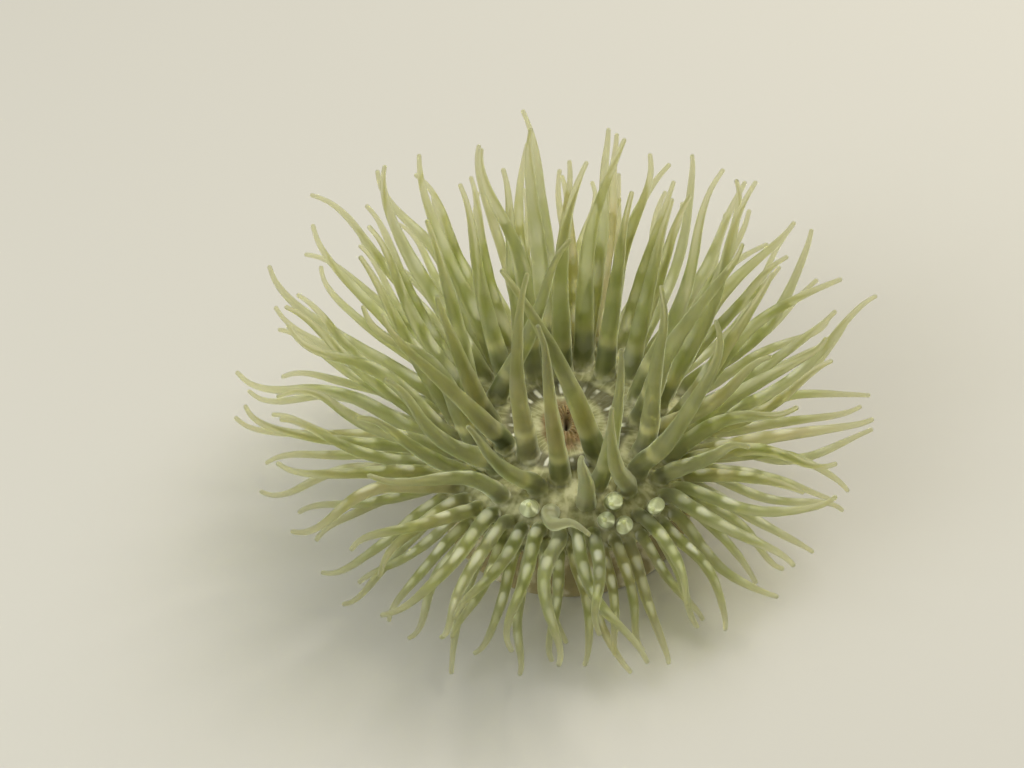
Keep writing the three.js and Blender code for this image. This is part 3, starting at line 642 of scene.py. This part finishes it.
filling = []
fill_reaches = np.arange(MOUTH_PATCH + SHEET_SPACING, FEET_REACH - RIM_GAP, ROW_SPACING)
for row, reach in enumerate(fill_reaches):
    number = int(round(2 * np.pi * reach / SHEET_SPACING))
    filling.append(on_sheet(reach, 2 * np.pi * (np.arange(number) + 0.5 * (row % 2)) / number))
filling = np.concatenate(filling)
to_root = np.linalg.norm(filling[:, None] - root_sheet[None, :], axis=2)
filling = filling[(to_root > foot_radius[None, :] + FOOT_GAP).all(axis=1)]
print(len(filling), "points between the feet")

# %% Cutting and filling the pattern
# Points of the sheet that are nearer than this count as one.
SAME_POINT = 1e-6
feet_start = 2 * AROUND
fill_start = feet_start + count * SIDES
sheet = np.concatenate([inner_rim, outer_rim, feet_sheet.reshape(-1, 2), filling])


def loop_edges(start, number):
    return [(start + k, start + (k + 1) % number) for k in range(number)]


edges = loop_edges(0, AROUND) + loop_edges(AROUND, AROUND)
for k in range(count):
    edges += loop_edges(feet_start + k * SIDES, SIDES)
_, _, new_faces, origin, _, _ = delaunay_2d_cdt(
    [Vector(point) for point in sheet], edges, [], 0, SAME_POINT)
source = np.array([origins[0] if origins else -1 for origins in origin])

# Which hole's rim a point is on: 0 for the mouth, 1 and up for a foot, -1 for none.
hole_of = np.full(len(sheet) + 1, -1)
hole_of[:AROUND] = 0
hole_of[feet_start:fill_start] = 1 + np.arange(count * SIDES) // SIDES
triangles = source[np.array(new_faces)]
holes = hole_of[triangles]
in_a_hole = (holes[:, 0] >= 0) & (holes[:, 0] == holes[:, 1]) & (holes[:, 1] == holes[:, 2])
triangles = triangles[~in_a_hole]
print(len(triangles), "triangles on the disc; feet that cross:", (source < 0).sum())

# %% [markdown]
# ## The mouth
#
# The mouth of an anemone is a slit between two soft lips, which stand up a little and are drawn
# into fine folds, because the throat behind them is a folded tube. It is a turned form that has
# been pulled out lengthwise, so it is made from rings too: each ring has a height and a width,
# and the folds are a wave round it that dies away towards the disc.

# %% Lips and throat
# Places on the lips, as distance from the middle before stretching and height above the disc.
LIPS = [(MOUTH_PATCH, 0.0), (3.9, 0.02), (3.2, -0.02), (2.6, 0.10), (2.1, 0.46), (1.6, 0.66),
        (1.15, 0.52), (0.85, 0.05), (0.62, -0.7), (0.42, -1.35), (0.2, -1.6)]
LIP_STEPS = 3
THROAT_DEPTH = 1.65
# How much the mouth is stretched each way, and how much its slit is pinched, from a distance.
MOUTH_STRETCH = np.array([0.85, 1.25])
STRETCHED_WITHIN = 2.6
PINCH, PINCHED_WITHIN = 0.62, 1.5
# The folds: their number, where they are deepest, how they die away, how far they go, and how
# far and how often they stray from even places.
FOLDS, FOLD_MIDDLE, FOLD_FADE = 22, 1.6, 0.75
FOLD_OUT, FOLD_UP = 0.045, 0.09
FOLD_STRAY, FOLD_STRAYS = 0.6, 3
lobes = np.sin(FOLDS * ring_turns + FOLD_STRAY * np.sin(FOLD_STRAYS * ring_turns))
mouth_rings = []
for distance, height in rounded(LIPS, LIP_STEPS)[1:]:
    pull = np.clip((MOUTH_PATCH - distance) / (MOUTH_PATCH - STRETCHED_WITHIN), 0, 1)
    pull = pull * pull * (3 - 2 * pull)
    stretch = 1 + (MOUTH_STRETCH - 1) * pull
    pinch = 1 - PINCH * np.clip(PINCHED_WITHIN - distance, 0, 1)
    fold = np.exp(-((distance - FOLD_MIDDLE) / FOLD_FADE) ** 2)
    spread = distance * (1 + FOLD_OUT * fold * lobes)
    mouth_rings.append(np.stack([spread * stretch[0] * pinch * np.cos(ring_turns),
                                 spread * stretch[1] * np.sin(ring_turns),
                                 DISC_HEIGHT + height + FOLD_UP * fold * lobes], axis=1))
mouth_rings = np.array(mouth_rings)
throat_end = np.array([0, 0, DISC_HEIGHT - THROAT_DEPTH])
print(f"lips stand to {mouth_rings[..., 2].max():.2f} mm")

# %% [markdown]
# ## The column and the foot
#
# Below the margin the body is a plain turned form with some life in it. A column that is drawn
# down lies in soft folds, and its upper part carries little suckers, with which the animal
# holds bits of shell. A bump in the finish could draw them, but the outline would stay smooth,
# so they are in the mesh. Folds run down the side as slow waves and suckers are low round
# bumps, set in staggered rows. Nothing is added to the sole, which has to stay flat to rest on.

# %% Rings down the side
SIDE_ROWS = 44
SOLE_ROWS = 4
side_reach = FEET_REACH + (SOLE_REACH - FEET_REACH) * np.linspace(0, 1, SIDE_ROWS + 1)[1:]
sole_reach = SOLE_REACH + (tape[-1] - SOLE_REACH) * np.linspace(0, 1, SOLE_ROWS + 1)[1:-1]
# Each row of suckers as its reach and its number of suckers.
SUCKER_ROWS = [(FEET_REACH + 1.4, 30), (FEET_REACH + 2.5, 26), (FEET_REACH + 3.7, 22)]
SUCKER_SIZE, SUCKER_HEIGHT = 0.42, 0.16
# Folds, fine folds and creases. Each has its depth, its number round the body, its pace from
# margin to sole, and how far and how often it wanders on the way round.
FOLD_WAVES = [(0.11, 24, 5, 1.2, 2), (0.07, 41, -9, 2.0, 1), (0.05, 0, 26, 1.5, 5)]
# How suddenly the folds end at margin and sole: nearer 0 is more sudden.
ENDING = 0.8


def side_relief(reach, turn):
    """How far the column's skin stands out from its turned form, in millimetres."""
    share = (reach - FEET_REACH) / (SOLE_REACH - FEET_REACH)
    calm_ends = np.sin(np.pi * np.clip(share, 0, 1)) ** ENDING
    folds = sum(depth * np.sin(number * turn + wander * np.sin(often * turn) + pace * share)
                for depth, number, pace, wander, often in FOLD_WAVES)
    bumps = np.zeros_like(turn)
    radius = on_side(reach)[0]
    for row, (row_reach, number) in enumerate(SUCKER_ROWS):
        place = (turn / (2 * np.pi) * number + 0.5 * (row % 2)) % 1 - 0.5
        distance = np.hypot(place * 2 * np.pi / number * radius, reach - row_reach)
        bumps = bumps + SUCKER_HEIGHT * np.exp(-(distance / SUCKER_SIZE) ** 4)
    return calm_ends * folds + bumps


side_rings = []
for reach in side_reach:
    ring = on_body(np.full(AROUND, reach), ring_turns)
    out = side_relief(reach, ring_turns)
    ring[:, 0] += out * np.cos(ring_turns)
    ring[:, 1] += out * np.sin(ring_turns)
    side_rings.append(ring)
for reach in sole_reach:
    side_rings.append(on_body(np.full(AROUND, reach), ring_turns))
side_rings = np.array(side_rings)
side_radii = np.hypot(side_rings[:SIDE_ROWS, :, 0], side_rings[:SIDE_ROWS, :, 1])
print(f"column's skin from {side_radii.min():.1f} to {side_radii.max():.1f} mm from the axis")

# %% [markdown]
# ## One skin
#
# Now everything is sewn together: the filled pattern, the rings of the mouth, the rings down
# the side, and a row of rings on every foot. Neighbouring parts share their corners, so there
# is no seam to hide. While a part is sewn on, it is also given its place on a flat map of the
# skin, on which the finish can later be baked as a picture. Every tentacle is an upright strip
# there, the strips stand side by side in four rows, and the disc and the column have the rest.

# %% The places on the map
STRIP_ROWS = 4
STRIPS = math.ceil(count / STRIP_ROWS)
STRIP_HEIGHT = 0.165
STRIP_GAP = 0.005
# The disc is a dial with this middle and radius. The side is a strip with this left and lower
# edge, width and height.
DISC_PLACE = (0.16, 0.84, 0.15)
SIDE_PLACE = (0.34, 0.70, 0.64, 0.28)
# Margins at a strip's sides and below it, as shares of its width and height.
SIDE_MARGIN = 0.12
LOWER_MARGIN = 0.015


def as_strip(left, bottom, width, height, rows):
    """Lays a stack of rings on the map as an unrolled strip."""
    def place(row, column, columns):
        return left + width * column / columns, bottom + height * row / rows
    return place


def as_dial(radii):
    """Lays a stack of rings on the map as circles inside each other, at radii from 0 to 1."""
    def place(row, column, columns):
        angle = 2 * math.pi * column / columns
        return (DISC_PLACE[0] + DISC_PLACE[2] * radii[row] * math.cos(angle),
                DISC_PLACE[1] + DISC_PLACE[2] * radii[row] * math.sin(angle))
    return place


def tentacle_strip(k):
    width = 1 / STRIPS
    left = (k % STRIPS + SIDE_MARGIN) * width
    bottom = (k // STRIPS + LOWER_MARGIN) * (STRIP_HEIGHT + STRIP_GAP)
    return as_strip(left, bottom, width * (1 - 2 * SIDE_MARGIN), STRIP_HEIGHT, ROWS)


print(f"strips {1 / STRIPS:.3f} wide and {STRIP_HEIGHT} high on a map of 1 by 1")

# %% Gathering corners and faces
body_reach = np.hypot(*sheet.T)
body_turn = np.arctan2(sheet[:, 1], sheet[:, 0])
corners = list(on_body(body_reach, body_turn))
faces = [tuple(triangle) for triangle in triangles]
sheet_map = np.array(DISC_PLACE[:2]) + DISC_PLACE[2] * sheet / FEET_REACH
face_maps = [sheet_map[triangle] for triangle in triangles]


def add_rings(rings, first_row, place):
    """Adds a stack of closed rings and the faces between them, and returns every row's corners."""
    rows = [list(first_row)]
    for ring in rings:
        rows.append(list(range(len(corners), len(corners) + len(ring))))
        corners.extend(ring)
    columns = len(rows[0])
    for row in range(len(rows) - 1):
        lower, upper = rows[row], rows[row + 1]
        for j in range(columns):
            after = (j + 1) % columns
            faces.append((lower[j], lower[after], upper[after], upper[j]))
            face_maps.append([place(row + up, j + over, columns)
                              for up, over in ((0, 0), (0, 1), (1, 1), (1, 0))])
    return rows


def add_end(point, rows, place):
    """Closes a stack of rings with a fan of faces to one corner, and returns that corner."""
    end = len(corners)
    corners.append(point)
    last, columns = rows[-1], len(rows[-1])
    for j in range(columns):
        faces.append((last[j], last[(j + 1) % columns], end))
        face_maps.append([place(len(rows) - 1, j, columns), place(len(rows) - 1, j + 1, columns),
                          place(len(rows), j + 0.5, columns)])
    return end


print(len(faces), "faces so far, on the disc")

# %% Sewing on the mouth, the side and the tentacles
mouth_dial = as_dial(np.linspace(MOUTH_PATCH / FEET_REACH, 0, len(mouth_rings) + 2))
mouth_rows = add_rings(mouth_rings, range(AROUND), mouth_dial)
add_end(throat_end, mouth_rows, mouth_dial)

side_strip = as_strip(*SIDE_PLACE, len(side_rings) + 1)
side_rows = add_rings(side_rings[:, ::-1], range(2 * AROUND - 1, AROUND - 1, -1), side_strip)
sole_end = add_end((0, 0, 0), side_rows, side_strip)

tube_rows = []
tube_ends = []
for k in range(count):
    strip = tentacle_strip(k)
    first = feet_start + k * SIDES
    tube_rows.append(add_rings(rows_of_rings[k, 1:], range(first, first + SIDES), strip))
    tube_ends.append(add_end(end_points[k], tube_rows[-1], strip))
print(len(corners), "corners,", len(faces), "faces,", sum(len(face) - 2 for face in faces),
      "triangles")

# %% Storing the mesh
def add_object(name, data):
    obj = bpy.data.objects.new(name, data)
    bpy.context.collection.objects.link(obj)
    return obj


# A corner that strays out of the frame's box is brought back to its side.
corners = np.clip(np.array(corners) * MM, *np.array(CAD_BOX))
mesh = bpy.data.meshes.new("anemone_skin")
mesh.from_pydata(corners.tolist(), [], faces)
mesh.shade_smooth()
skin_map = mesh.uv_layers.new(name="OFBake")
skin_map.uv.foreach_set("vector", np.concatenate(
    [np.asarray(places, np.float32).ravel() for places in face_maps]))
skin = add_object("anemone_skin", mesh)
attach(skin, "root")
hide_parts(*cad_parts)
print("skin stored, replacing", len(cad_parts), "nodes of flesh")

# %% [markdown]
# Each corner also remembers a few facts for the finish: how far along its tentacle it is, how
# far round from the oral side, and which part of the body it belongs to. Blender keeps such
# facts as attributes, and a material can read them anywhere on the skin.

# %% What each corner remembers
FACTS = "along from_root oral aside tentacle side cycle chance drawn_in".split()
# Rows down from the margin over which the disc's colours turn into the column's.
SIDE_FADE_ROWS = 5
facts = {name: np.zeros(len(corners), np.float32) for name in FACTS}
row_fade = np.clip((np.arange(ROWS) - 0.5) / (FILLET_RINGS - 1), 0, 1)


def remember(members, **values):
    for name, value in values.items():
        facts[name][members] = value


for k in range(count):
    for row, members in enumerate(tube_rows[k]):
        remember(members, along=row_shares[k, row], from_root=row_shares[k, row] * length[k],
                 oral=np.cos(angles), aside=np.sin(angles), tentacle=row_fade[row])
    remember(tube_ends[k], along=1, from_root=length[k], tentacle=1)
    remember(sum(tube_rows[k], [tube_ends[k]]), cycle=crown[k]["cycle"],
             chance=0.5 + 0.5 * stray(k, "sway") / HABITS["sway"][1],
             drawn_in=float(crown[k]["calm"] < CALM))
for row, members in enumerate(side_rows):
    remember(members, side=min(1.0, row / SIDE_FADE_ROWS))
remember(sole_end, side=1)
for name, values in facts.items():
    mesh.attributes.new(name, "FLOAT", "POINT").data.foreach_set("value", values)
print("kept at each corner:", ", ".join(FACTS))

# %% [markdown]
# ## The flesh
#
# The flesh of an anemone is a clear jelly between two thin skins. Light goes in, scatters and
# comes out again elsewhere, which makes the tentacles glow where they are thin and lets the
# edges look milky. One Principled shader can do that: its transmission lets what lies behind
# show through, its subsurface part scatters the rest of the light, and a little sheen gives the
# edges their milky line, which the colour strengthens with a painted highlight along the flanks.
# Glass would look too hard here and paint too dead. The colours and the markings are drawn from
# the facts kept at each corner, so they follow every bend.

# %% Helpers for nodes
flesh = bpy.data.materials.new("anemone_flesh")
flesh.use_nodes = True
nodes = flesh.node_tree.nodes
links = flesh.node_tree.links
nodes.clear()


def feed(socket, value):
    """Links a socket to another one, or sets it to a number or colour."""
    if isinstance(value, bpy.types.NodeSocket):
        links.new(value, socket)
    else:
        socket.default_value = value


def fact(name):
    node = nodes.new("ShaderNodeAttribute")
    node.attribute_name = name
    return node.outputs["Fac"]


def calc(operation, *values):
    node = nodes.new("ShaderNodeMath")
    node.operation = operation
    for socket, value in zip(node.inputs, values):
        feed(socket, value)
    return node.outputs[0]


def in_turn(operation, result, *others):
    """Takes on one value after the other."""
    for other in others:
        result = calc(operation, result, other)
    return result


def plus(*values):
    return in_turn("ADD", *values)


def times(*values):
    return in_turn("MULTIPLY", *values)


def most(*values):
    return in_turn("MAXIMUM", *values)


def without(share):
    """What is left of 1 when a share is taken from it."""
    return calc("SUBTRACT", 1.0, share)


def fade(value, start, end):
    """0 before start and 1 after end, with a smooth change between. Runs down if end < start."""
    node = nodes.new("ShaderNodeMapRange")
    node.interpolation_type = "SMOOTHSTEP"
    rising = float(end > start)
    for name, number in (("Value", value), ("From Min", min(start, end)),
                         ("From Max", max(start, end)), ("To Min", 1.0 - rising), ("To Max", rising)):
        feed(node.inputs[name], number)
    return node.outputs["Result"]


def near(value, middle, inner, outer):
    """1 within inner of the middle, and 0 beyond outer."""
    return fade(calc("ABSOLUTE", plus(value, -middle)), outer, inner)


def blend(share, first, second):
    """Mixes two colours."""
    node = nodes.new("ShaderNodeMix")
    node.data_type = "RGBA"
    for name, value in (("Factor", share), ("A", first), ("B", second)):
        feed(node.inputs[name], value)
    return node.outputs["Result"]


def layered(colour, *layers):
    """Lays more colours over a colour, each with the share that it covers."""
    for share, over in layers:
        colour = blend(share, colour, over)
    return colour


def cloudy(size_mm, detail=2.0):
    """Soft noise from 0 to 1 whose blotches are about this size."""
    node = nodes.new("ShaderNodeTexNoise")
    feed(node.inputs["Vector"], nodes.new("ShaderNodeTexCoord").outputs["Object"])
    feed(node.inputs["Scale"], 1 / (size_mm * MM))
    feed(node.inputs["Detail"], detail)
    return node.outputs["Fac"]


def rgb(red, green, blue):
    """A colour given as it looks on a screen, from 0 to 255, as linear light."""
    def linear(value):
        value /= 255
        return value / 12.92 if value <= 0.04045 else ((value + 0.055) / 1.055) ** 2.4
    return (linear(red), linear(green), linear(blue), 1.0)


print("flesh material begun")

# %% [markdown]
# Opaque cream spots lie along the oral side of a tentacle. Each has a clean edge towards the
# root and fades out towards the tip, and each is fainter than the one before it. The oldest
# tentacles have almost none of them. They show a dark collar at the root instead, like a
# thimble, with a pale yellow ring above it. The few that are drawn in stand straight and
# short on the near side. Their flesh is denser and is painted darker, as shade that tones
# down the sheen on them, and only the first spot shows on it.
# All of that could be painted on the map of the skin, tentacle by tentacle. Here one formula
# draws every spot from the facts at the corners, so the edges stay sharp from near by, and the
# chance that each tentacle carries makes it differ from the next.

# %% Spots along the oral side
# Where each spot lies as a share of the length, how far it runs towards root and tip, how far
# it reaches round the tentacle in radians, and how strong it is. On each tentacle some of them
# are drawn weaker by lot.
SPOTS = [(0.140, 0.040, 0.100, 1.00, 0.90), (0.310, 0.040, 0.105, 0.90, 0.80),
         (0.480, 0.040, 0.105, 0.80, 0.60), (0.640, 0.040, 0.095, 0.70, 0.35)]
# How far the spots' edges stray and whole rows of spots are shifted, as shares of the length.
RAGGED_BY = 0.035
SHIFTED_BY = 0.08

along_it = fact("along")
mm_from_root = fact("from_root")
to_side = calc("ABSOLUTE", fact("aside"))
round_it = calc("ARCTAN2", fact("aside"), fact("oral"))
chance_of = fact("chance")
cycle_fact = fact("cycle")
is_tentacle = fact("tentacle")
is_drawn_in = fact("drawn_in")
shifted = plus(along_it, times(plus(cloudy(0.9), -0.5), RAGGED_BY),
               times(plus(chance_of, -0.5), SHIFTED_BY))


def by_chance(first, last):
    """A number from first to last, as each tentacle's chance has it."""
    return plus(first, times(chance_of, last - first))


def spot(middle, to_root, to_tip, half_width, strength):
    from_middle = plus(shifted, -middle)
    lengthwise = most(times(from_middle, 1 / to_tip), times(from_middle, -1 / to_root))
    crosswise = times(round_it, 1 / half_width)
    inside = without(plus(times(lengthwise, lengthwise), times(crosswise, crosswise)))
    # A lot from 0 to 1, which differs between tentacles and between their spots.
    drawn = calc("FRACT", plus(times(chance_of, 13.0), middle * 9))
    return times(fade(inside, -0.15, 1.0), strength, plus(0.5, times(drawn, 0.5)))


later_spots = times(most(*[spot(*row) for row in SPOTS[1:]]), without(is_drawn_in))
spots = times(most(spot(*SPOTS[0]), later_spots), by_chance(0.75, 1.0),
              fade(cycle_fact, -0.5, 2.6), is_tentacle)
print(len(SPOTS), "spots to a tentacle")

# %% The collar of the old tentacles
# Millimetres from the root at which the thimble fades out and the ring lies, how far the
# thimble's lower edge rises at the sides, and the share of the length where a faint band lies.
THIMBLE_TOP = (5.0, 3.6)
RING_PLACE = 5.2
EDGE_RISE = 1.3
BAND_PLACE = 0.47

above_edge = calc("SUBTRACT", mm_from_root, times(calc("POWER", to_side, 3.0), EDGE_RISE))
thimble = times(fade(above_edge, 0.4, 1.0), fade(mm_from_root, *THIMBLE_TOP))
streak = near(to_side, 0.0, 0.10, 0.55)
collar = times(thimble, without(times(streak, 0.45)), is_tentacle, fade(cycle_fact, 2.2, 0.2),
               by_chance(0.30, 1.0))
ring_above = times(near(mm_from_root, RING_PLACE, 0.1, 1.3), is_tentacle,
                   fade(cycle_fact, 2.6, 0.6), by_chance(1.1, 0.4))
half_way_band = times(near(shifted, BAND_PLACE, 0.02, 0.06), fade(cycle_fact, 1.4, 0.4))
foot_edge = times(near(is_tentacle, 0.35, 0.10, 0.32), fade(to_side, 0.2, 0.8),
                  fade(cloudy(1.8), 0.35, 0.6))
print("collar and rings on the old tentacles")

# %% Colours of a tentacle
JELLY_GREY = rgb(204, 207, 164)
JELLY_WARM = rgb(222, 212, 166)
JELLY_GREEN = rgb(190, 196, 126)
JELLY_DEEP = rgb(160, 164, 104)
# Cream of the tips, also used as the painted highlight along the flanks.
TIP_CREAM_AND_RIM_HIGHLIGHT = rgb(233, 231, 196)
# Denser flesh of a drawn-in tentacle, darkened as painted shade against the sheen.
DENSE_WITH_PAINTED_SHADE = rgb(154, 161, 112)
CREAM = rgb(252, 250, 232)
RING_YELLOW = rgb(236, 230, 168)
COLLAR_DARK = rgb(86, 94, 54)

# The jelly varies from grey to warm and green and is paler at the tip. Its flanks are lightened
# as a painted highlight, the milky edge line of a lit tube. A drawn-in tentacle is milky and
# darker all over, partly from its denser flesh and partly as painted shade against its sheen.
warmer = fade(calc("FRACT", times(chance_of, 7.0)), 0.55, 0.95)
greener = times(plus(chance_of, fade(cloudy(4.0), 0.35, 0.65)), 0.5)
jelly = layered(JELLY_GREY, (warmer, JELLY_WARM), (greener, JELLY_GREEN),
                (times(fade(cloudy(2.2, 3.0), 0.5, 0.8), 0.5), JELLY_DEEP),
                # Painted highlight: the flanks are lightened towards cream.
                (times(fade(to_side, 0.70, 0.98), 0.45), TIP_CREAM_AND_RIM_HIGHLIGHT),
                (times(fade(along_it, 0.50, 0.95), 0.85), TIP_CREAM_AND_RIM_HIGHLIGHT),
                # Painted shade: a drawn-in tentacle is darkened all over against its sheen.
                (times(is_drawn_in, 0.85), DENSE_WITH_PAINTED_SHADE))
tube_colour = layered(jelly, (times(collar, 0.9), COLLAR_DARK),
                      (times(ring_above, 0.7), RING_YELLOW),
                      (times(half_way_band, 0.35), TIP_CREAM_AND_RIM_HIGHLIGHT), (spots, CREAM))
print("tentacle coloured")

# %% [markdown]
# The disc is grey green and half clear. Thin pale lines cross it from the mouth outward, where
# the inner walls of the body are attached. Half way out stands a ring of short white bars with
# dark gaps between them, and inside the ring the disc is a grainy reddish brown, with dark
# specks, right up to the lips. The distance from the mouth and the turn round it are enough to
# draw all of these, so they need no facts at the corners.

# %% Colours of the disc and the mouth
DISC_GREEN = rgb(150, 148, 104)
DISC_PALE = rgb(204, 201, 160)
DISC_DARK = rgb(96, 92, 72)
BAR_WHITE = rgb(242, 240, 222)
MOUTH_BROWN = rgb(132, 114, 80)
MOUTH_PINK = rgb(156, 133, 97)
MOUTH_DARK = rgb(92, 70, 46)
# The white bars and their ring's radius, and half the mouth's width and length, in millimetres.
BARS = 26
BAR_RING = 5.9
MOUTH_AREA = (2.8, 3.9)

place = nodes.new("ShaderNodeSeparateXYZ")
feed(place.inputs[0], nodes.new("ShaderNodeTexCoord").outputs["Object"])
east, north = place.outputs["X"], place.outputs["Y"]
disc_turn = calc("ARCTAN2", north, east)
wobble = plus(cloudy(1.6), -0.5)


def oval_reach(half_width_mm, half_height_mm):
    """Distance from the middle, 1 at the edge of an oval of this size."""
    across, up = times(east, 1 / (half_width_mm * MM)), times(north, 1 / (half_height_mm * MM))
    return calc("SQRT", plus(times(across, across), times(up, up)))


def rays(number, width):
    """1 along the middle of each ray from the mouth outward, and 0 beyond its width."""
    wave = calc("COSINE", plus(times(disc_turn, float(number)), times(wobble, 2.5)))
    return fade(wave, 1 - 2 * width, 1.0)


ring_place = plus(oval_reach(1.0, 1.0), times(wobble, 1.2))
bars = times(rays(BARS, 0.45), near(ring_place, BAR_RING, 0.45, 1.0),
             fade(cloudy(2.5), 0.30, 0.55))
mouth_colour = layered(MOUTH_BROWN, (fade(cloudy(0.9, 2.0), 0.4, 0.65), MOUTH_PINK),
                       (fade(cloudy(0.42, 3.0), 0.60, 0.68), MOUTH_DARK))
in_mouth = fade(plus(oval_reach(*MOUTH_AREA), times(wobble, 0.6)), 1.2, 0.8)
disc_colour = layered(DISC_GREEN, (fade(cloudy(1.2, 3.0), 0.35, 0.7), DISC_PALE),
                      (times(rays(2 * BARS, 0.3), 0.5), DISC_PALE),
                      (times(near(ring_place, BAR_RING, 0.7, 1.6), 0.75), DISC_DARK),
                      (bars, BAR_WHITE), (in_mouth, mouth_colour))
print("disc coloured, with", BARS, "bars")

# %% [markdown]
# The column's skin is tougher than a tentacle's and lets less light through. It is buff, with
# paler streaks down from the margin, where the inner walls of the body are attached. A wave
# round the body draws the streaks, and soft noise makes them wander, because streaks that are
# all alike would look printed.

# %% Colours of the column
COLUMN_BUFF = rgb(158, 146, 108)
COLUMN_PALE = rgb(205, 197, 166)
STREAKS = 24.0
streak_wave = calc("SINE", plus(times(disc_turn, STREAKS), times(cloudy(3.0), 6.0)))
column_colour = layered(COLUMN_BUFF, (fade(streak_wave, -0.2, 1.0), COLUMN_PALE),
                        (fade(cloudy(1.0, 3.0), 0.4, 0.75), COLUMN_BUFF))
whole_colour = layered(disc_colour, (fact("side"), column_colour), (is_tentacle, tube_colour),
                       (times(foot_edge, 0.7), CREAM))
print("column coloured")

# %% [markdown]
# Now the colours meet in one shader. A material for each part would be simpler to follow, but
# its edge would show as a line on a skin that has none. So whatever differs from place to place,
# the colour and how clear the flesh is, comes from the nodes above, and whatever is the same
# all over is a plain number. A fine bump stands for the grain of the wet skin.

# %% The shader
# Markings are opaque. Between them a tentacle is clear, and more so towards its tip.
opaque = most(spots, times(most(ring_above, collar), 0.6))
clearness = plus(0.70, times(fade(along_it, 0.1, 0.9), 0.18))
clear = times(is_tentacle, without(opaque), clearness, without(is_drawn_in))

shader = nodes.new("ShaderNodeBsdfPrincipled")
feed(shader.inputs["Base Color"], whole_colour)
feed(shader.inputs["Transmission Weight"], clear)
settings = {"Roughness": 0.32, "IOR": 1.06, "Subsurface Weight": 0.8,
            "Subsurface Radius": (1.0, 0.95, 0.60), "Subsurface Scale": 1.2 * MM,
            "Sheen Weight": 1.0, "Sheen Roughness": 0.30, "Sheen Tint": rgb(228, 233, 196)}
for name, value in settings.items():
    shader.inputs[name].default_value = value

bump = nodes.new("ShaderNodeBump")
for name, value in (("Strength", 0.30), ("Distance", 0.05 * MM), ("Height", cloudy(0.5, 3.0))):
    feed(bump.inputs[name], value)
feed(shader.inputs["Normal"], bump.outputs["Normal"])
output = nodes.new("ShaderNodeOutputMaterial")
feed(output.inputs["Surface"], shader.outputs["BSDF"])
mesh.materials.append(flesh)
print(len(nodes), "nodes in the flesh")

# %% [markdown]
# ## Floor, light and camera
#
# The model stands on a plain pale floor under soft light. A broad warm lamp high behind the
# animal on the right shines through the far tentacles, and a weaker, cooler one fills the near
# side from the left. The camera looks down from the near side, as into a rock pool.

# %% Floor
# Half the floor's width, in metres.
FLOOR_HALF = 3.0
floor_mesh = bpy.data.meshes.new("floor")
floor_mesh.from_pydata([(x * FLOOR_HALF, y * FLOOR_HALF, 0)
                        for x, y in ((-1, -1), (1, -1), (1, 1), (-1, 1))], [], [(0, 1, 2, 3)])
floor = add_object("floor", floor_mesh)
floor_paint = bpy.data.materials.new("floor_paint")
floor_paint.use_nodes = True
floor_shader = floor_paint.node_tree.nodes["Principled BSDF"]
floor_shader.inputs["Base Color"].default_value = rgb(198, 194, 182)
floor_shader.inputs["Roughness"].default_value = 0.85
floor_mesh.materials.append(floor_paint)
print("floor laid")

# %% Lights
TARGET = Vector((0, 0, DISC_HEIGHT)) * MM


def aim_at_target(obj):
    obj.rotation_euler = (TARGET - obj.location).to_track_quat("-Z", "Y").to_euler()


def soft_lamp(name, place_mm, size_mm, watts, colour):
    lamp = bpy.data.lights.new(name, "AREA")
    lamp.shape = "DISK"
    lamp.size = size_mm * MM
    lamp.energy = watts
    lamp.color = colour
    obj = add_object(name, lamp)
    obj.location = Vector(place_mm) * MM
    aim_at_target(obj)


soft_lamp("key", (260, 240, 460), 300, 2.7, (1.0, 0.97, 0.92))
soft_lamp("fill", (-300, -160, 260), 260, 0.9, (0.94, 0.98, 1.0))
world = bpy.data.worlds.new("studio")
bpy.context.scene.world = world
world.use_nodes = True
sky = world.node_tree.nodes["Background"]
sky.inputs["Color"].default_value = rgb(234, 236, 232)
sky.inputs["Strength"].default_value = 0.45
print("two lamps and a pale sky")

# %% Camera
# Distance in millimetres, height as an angle, width of view, and its shift to the side and up.
CAMERA_DISTANCE = 230
CAMERA_LIFT = math.radians(48)
VIEW_WIDTH = math.radians(28.7)
VIEW_SHIFT = (-0.053, 0.040)
camera_data = bpy.data.cameras.new("camera")
camera_data.angle = VIEW_WIDTH
camera_data.shift_x, camera_data.shift_y = VIEW_SHIFT
camera_data.clip_start = 0.01
camera = add_object("camera", camera_data)
camera.location = TARGET + CAMERA_DISTANCE * MM * Vector((0, -math.cos(CAMERA_LIFT),
                                                          math.sin(CAMERA_LIFT)))
aim_at_target(camera)
scene = bpy.context.scene
scene.camera = camera
scene.view_settings.view_transform = "Standard"
scene.cycles.use_denoising = True
print("camera set")

# %% The finished model brought up to date
bpy.context.view_layer.update()
